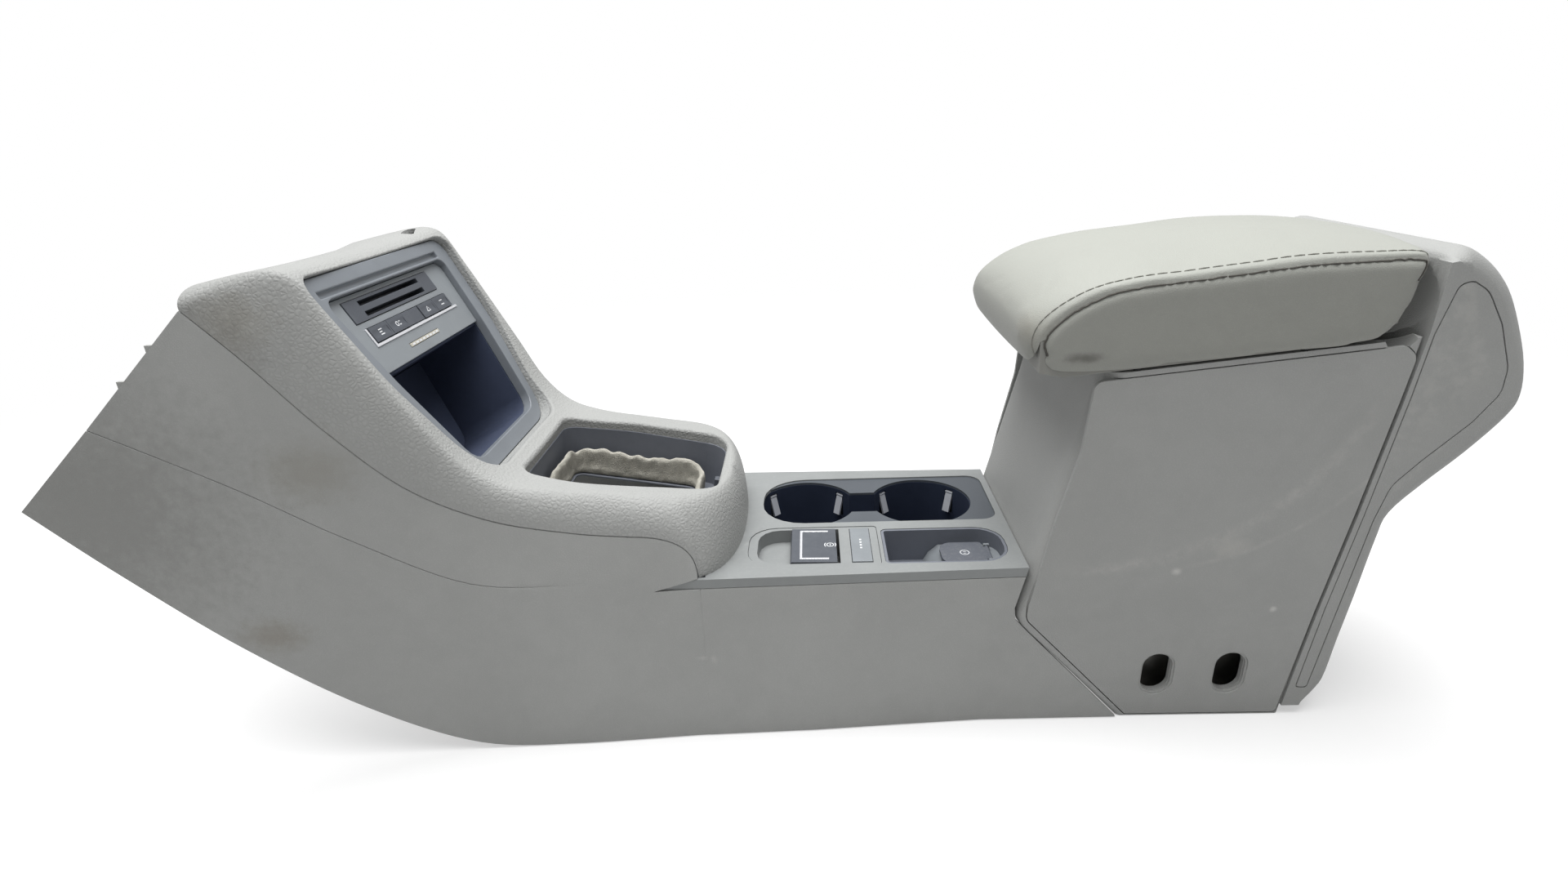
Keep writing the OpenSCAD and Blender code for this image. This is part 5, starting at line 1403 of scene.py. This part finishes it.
def makeMarks():
    keyMarks = {
        "key_1": [[(-1.8, -2.2), (-1.8, 2.2)], [(0, -2.2), (0, 1.2)], [(1.8, -2.2), (1.8, 2.2)]],
        "key_2": [arcStroke(0, -1.2, 1.5), [(1.2, 1.4), (1.2, 3.4)], [(-1.2, 1.4), (-1.2, 3.4)]],
        "key_4": [[(1.6, -2.4), (-1.8, 0), (1.6, 2.4), (1.6, -2.4)]],
        "key_5": [[(-1.6, -2.4), (-1.6, 2.4)], [(1.6, -2.4), (1.6, 2.4)]]}
    for name, strokes in keyMarks.items():
        y = marks["keyMiddle"] + (int(name[-1]) - 3) * marks["keyPitch"]
        spots = [[(marks["keyX"] + a, y + b) for a, b in stroke] for stroke in strokes]
        printMark(name + "_mark", name, faceFrame, spots, marks["keyLine"])
    level = Matrix.Translation((0, 0, ledgeZ * mm))
    printMark("brake_mark", "brake_switch", level, [
        arcStroke(43.2, -45.5, 2.5), [(43.2, -46.8), (43.2, -44.2)],
        arcStroke(43.2, -45.5, 4.1, -38, 38, 8), arcStroke(43.2, -45.5, 4.1, 142, 218, 8)], marks["signLine"])
    printMark("hold_mark", "hold_button", level, dashes(65.5, -52, 2, 4, 4), marks["holdLine"])
    printMark("cap_mark", "socket_cap", level, [
        arcStroke(141, -47, 3.2), [(140, -48.2), (142, -48.2)], [(140, -45.8), (142, -45.8)]],
        marks["signLine"])
    printMark("lens_mark", "indicator_lens", faceFrame, dashes(56.6, -25, 3.4, 5.2, 8), marks["lensLine"])


makeMarks()
print("marks done")

# Every CAD piece that stays gets rounded edges and its own finish: the pieces and the rounding in mm
stays = {
    "bezel": (["storage_bezel"], 0.9),
    "plate": (["switch_plate", "hold_button", "socket_surround"], 0.45),
    "cupPlate": (["cup_plate"], 0.45),
    "lining": (["front_tray", "shift_liner"], 0.6),
    "lidBase": (["armrest_base"], 0.6),
    "key": (["key_1", "key_2", "key_4", "key_5", "blank_key", "brake_switch", "slot_insert"], 0.35),
    "ledge": (["ledge_panel", "switch_frame"], 0.8),
    "black": (["cup_well"], 0.7),
    "pocket": (["storage_box", "storage_mat"], 0.7),
    "dark": (["socket_cap", "switch_housing", "bin_liner", "carrier", "gasket_clips",
              "rear_access_cover"], 0.6),
    "chrome": (["key_trim", "brake_trim", "socket_contact"], 0.25),
    "grip": (["cup_grip_1", "cup_grip_2", "cup_grip_3", "cup_grip_4"], 0.3),
    "lens": (["indicator_lens", "tray_lamp"], 0.2),
    "mat": (["bin_mat"], 0.4),
    "rubber": (["lid_bumpers"], 0.3),
    "spring": (["power_socket"], 0.3),
    "steel": (["hinge_bracket", "hinge_pin", "hinge_arms", "floor_bracket_left", "floor_bracket_right"], 0.4)}
for finish, (names, edge) in stays.items():
    for name in names:
        piece = nodes[name]
        if not piece.material_slots:
            piece.data.materials.append(finishes[finish])
        for slot in piece.material_slots:
            slot.material = finishes[finish]
        softened(piece, edge=edge, crisp=50)
print("CAD pieces finished:", sum(len(names) for names, edge in stays.values()))


# Pale floor and plain soft light; the floor and the world turn white for the camera alone
studio = {"floorSize": 14.0, "floorDrop": 0.0005, "floorPaint": 0.6, "floorGlow": 0.46, "whiteFrom": 0.75,
          "whiteTo": 1.6, "ambient": 0.24, "mirrored": 0.4, "keyPower": 78.0, "keySize": 2.1,
          "keyPlace": (-0.05, 0.1, 2.25), "keyAim": (0.03, 0, 0.1)}


def seenRay(tree):
    path = tree.nodes.new("ShaderNodeLightPath").outputs
    mirrored = times(tree, path["Is Glossy Ray"], studio["mirrored"])
    return calc(tree, "MAXIMUM", path["Is Camera Ray"],
                calc(tree, "MAXIMUM", mirrored, path["Is Transmission Ray"]))


def floorPaint():
    # plain paint that glows a little where it is seen, and turns white further out
    paint = bpy.data.materials.new("floorPaint")
    paint.use_nodes = True
    tree = paint.node_tree
    tree.nodes.clear()
    seen = seenRay(tree)
    far = ramp(tree, lengthOf(tree, objectPlace(tree)), studio["whiteFrom"], studio["whiteTo"])
    diffuse = node(tree, "BsdfDiffuse", Color=[studio["floorPaint"]] * 3 + [1])
    glow = node(tree, "Emission", Strength=times(tree, seen, studio["floorGlow"]))
    lit = node(tree, "AddShader", i0=diffuse, i1=glow)
    both = node(tree, "MixShader", i0=times(tree, seen, far), i1=lit, i2=node(tree, "Emission"))
    output = tree.nodes.new("ShaderNodeOutputMaterial")
    tree.links.new(both, output.inputs["Surface"])
    return paint


def makeStage():
    half, z = studio["floorSize"] / 2, -studio["floorDrop"]
    mesh = bpy.data.meshes.new("floor")
    corners = [(-half, -half, z), (half, -half, z), (half, half, z), (-half, half, z)]
    mesh.from_pydata(corners, [], [(0, 1, 2, 3)])
    mesh.materials.append(floorPaint())
    linked("floor", mesh)
    world = bpy.data.worlds.new("studio")
    scene.world = world
    world.use_nodes = True
    tree = world.node_tree
    background = tree.nodes["Background"]
    strength = node(tree, "MapRange", Value=seenRay(tree), To_Min=studio["ambient"], To_Max=1.0)
    background.inputs["Color"].default_value = (1, 1, 1, 1)
    tree.links.new(strength, background.inputs["Strength"])
    data = bpy.data.lights.new("keyLight", "AREA")
    data.energy = studio["keyPower"]
    data.size = studio["keySize"]
    lamp = linked("keyLight", data)
    lamp.location = studio["keyPlace"]
    aim = Vector(studio["keyAim"]) - Vector(studio["keyPlace"])
    lamp.rotation_euler = aim.to_track_quat("-Z", "Y").to_euler()
    scene.view_settings.view_transform = "Standard"


makeStage()
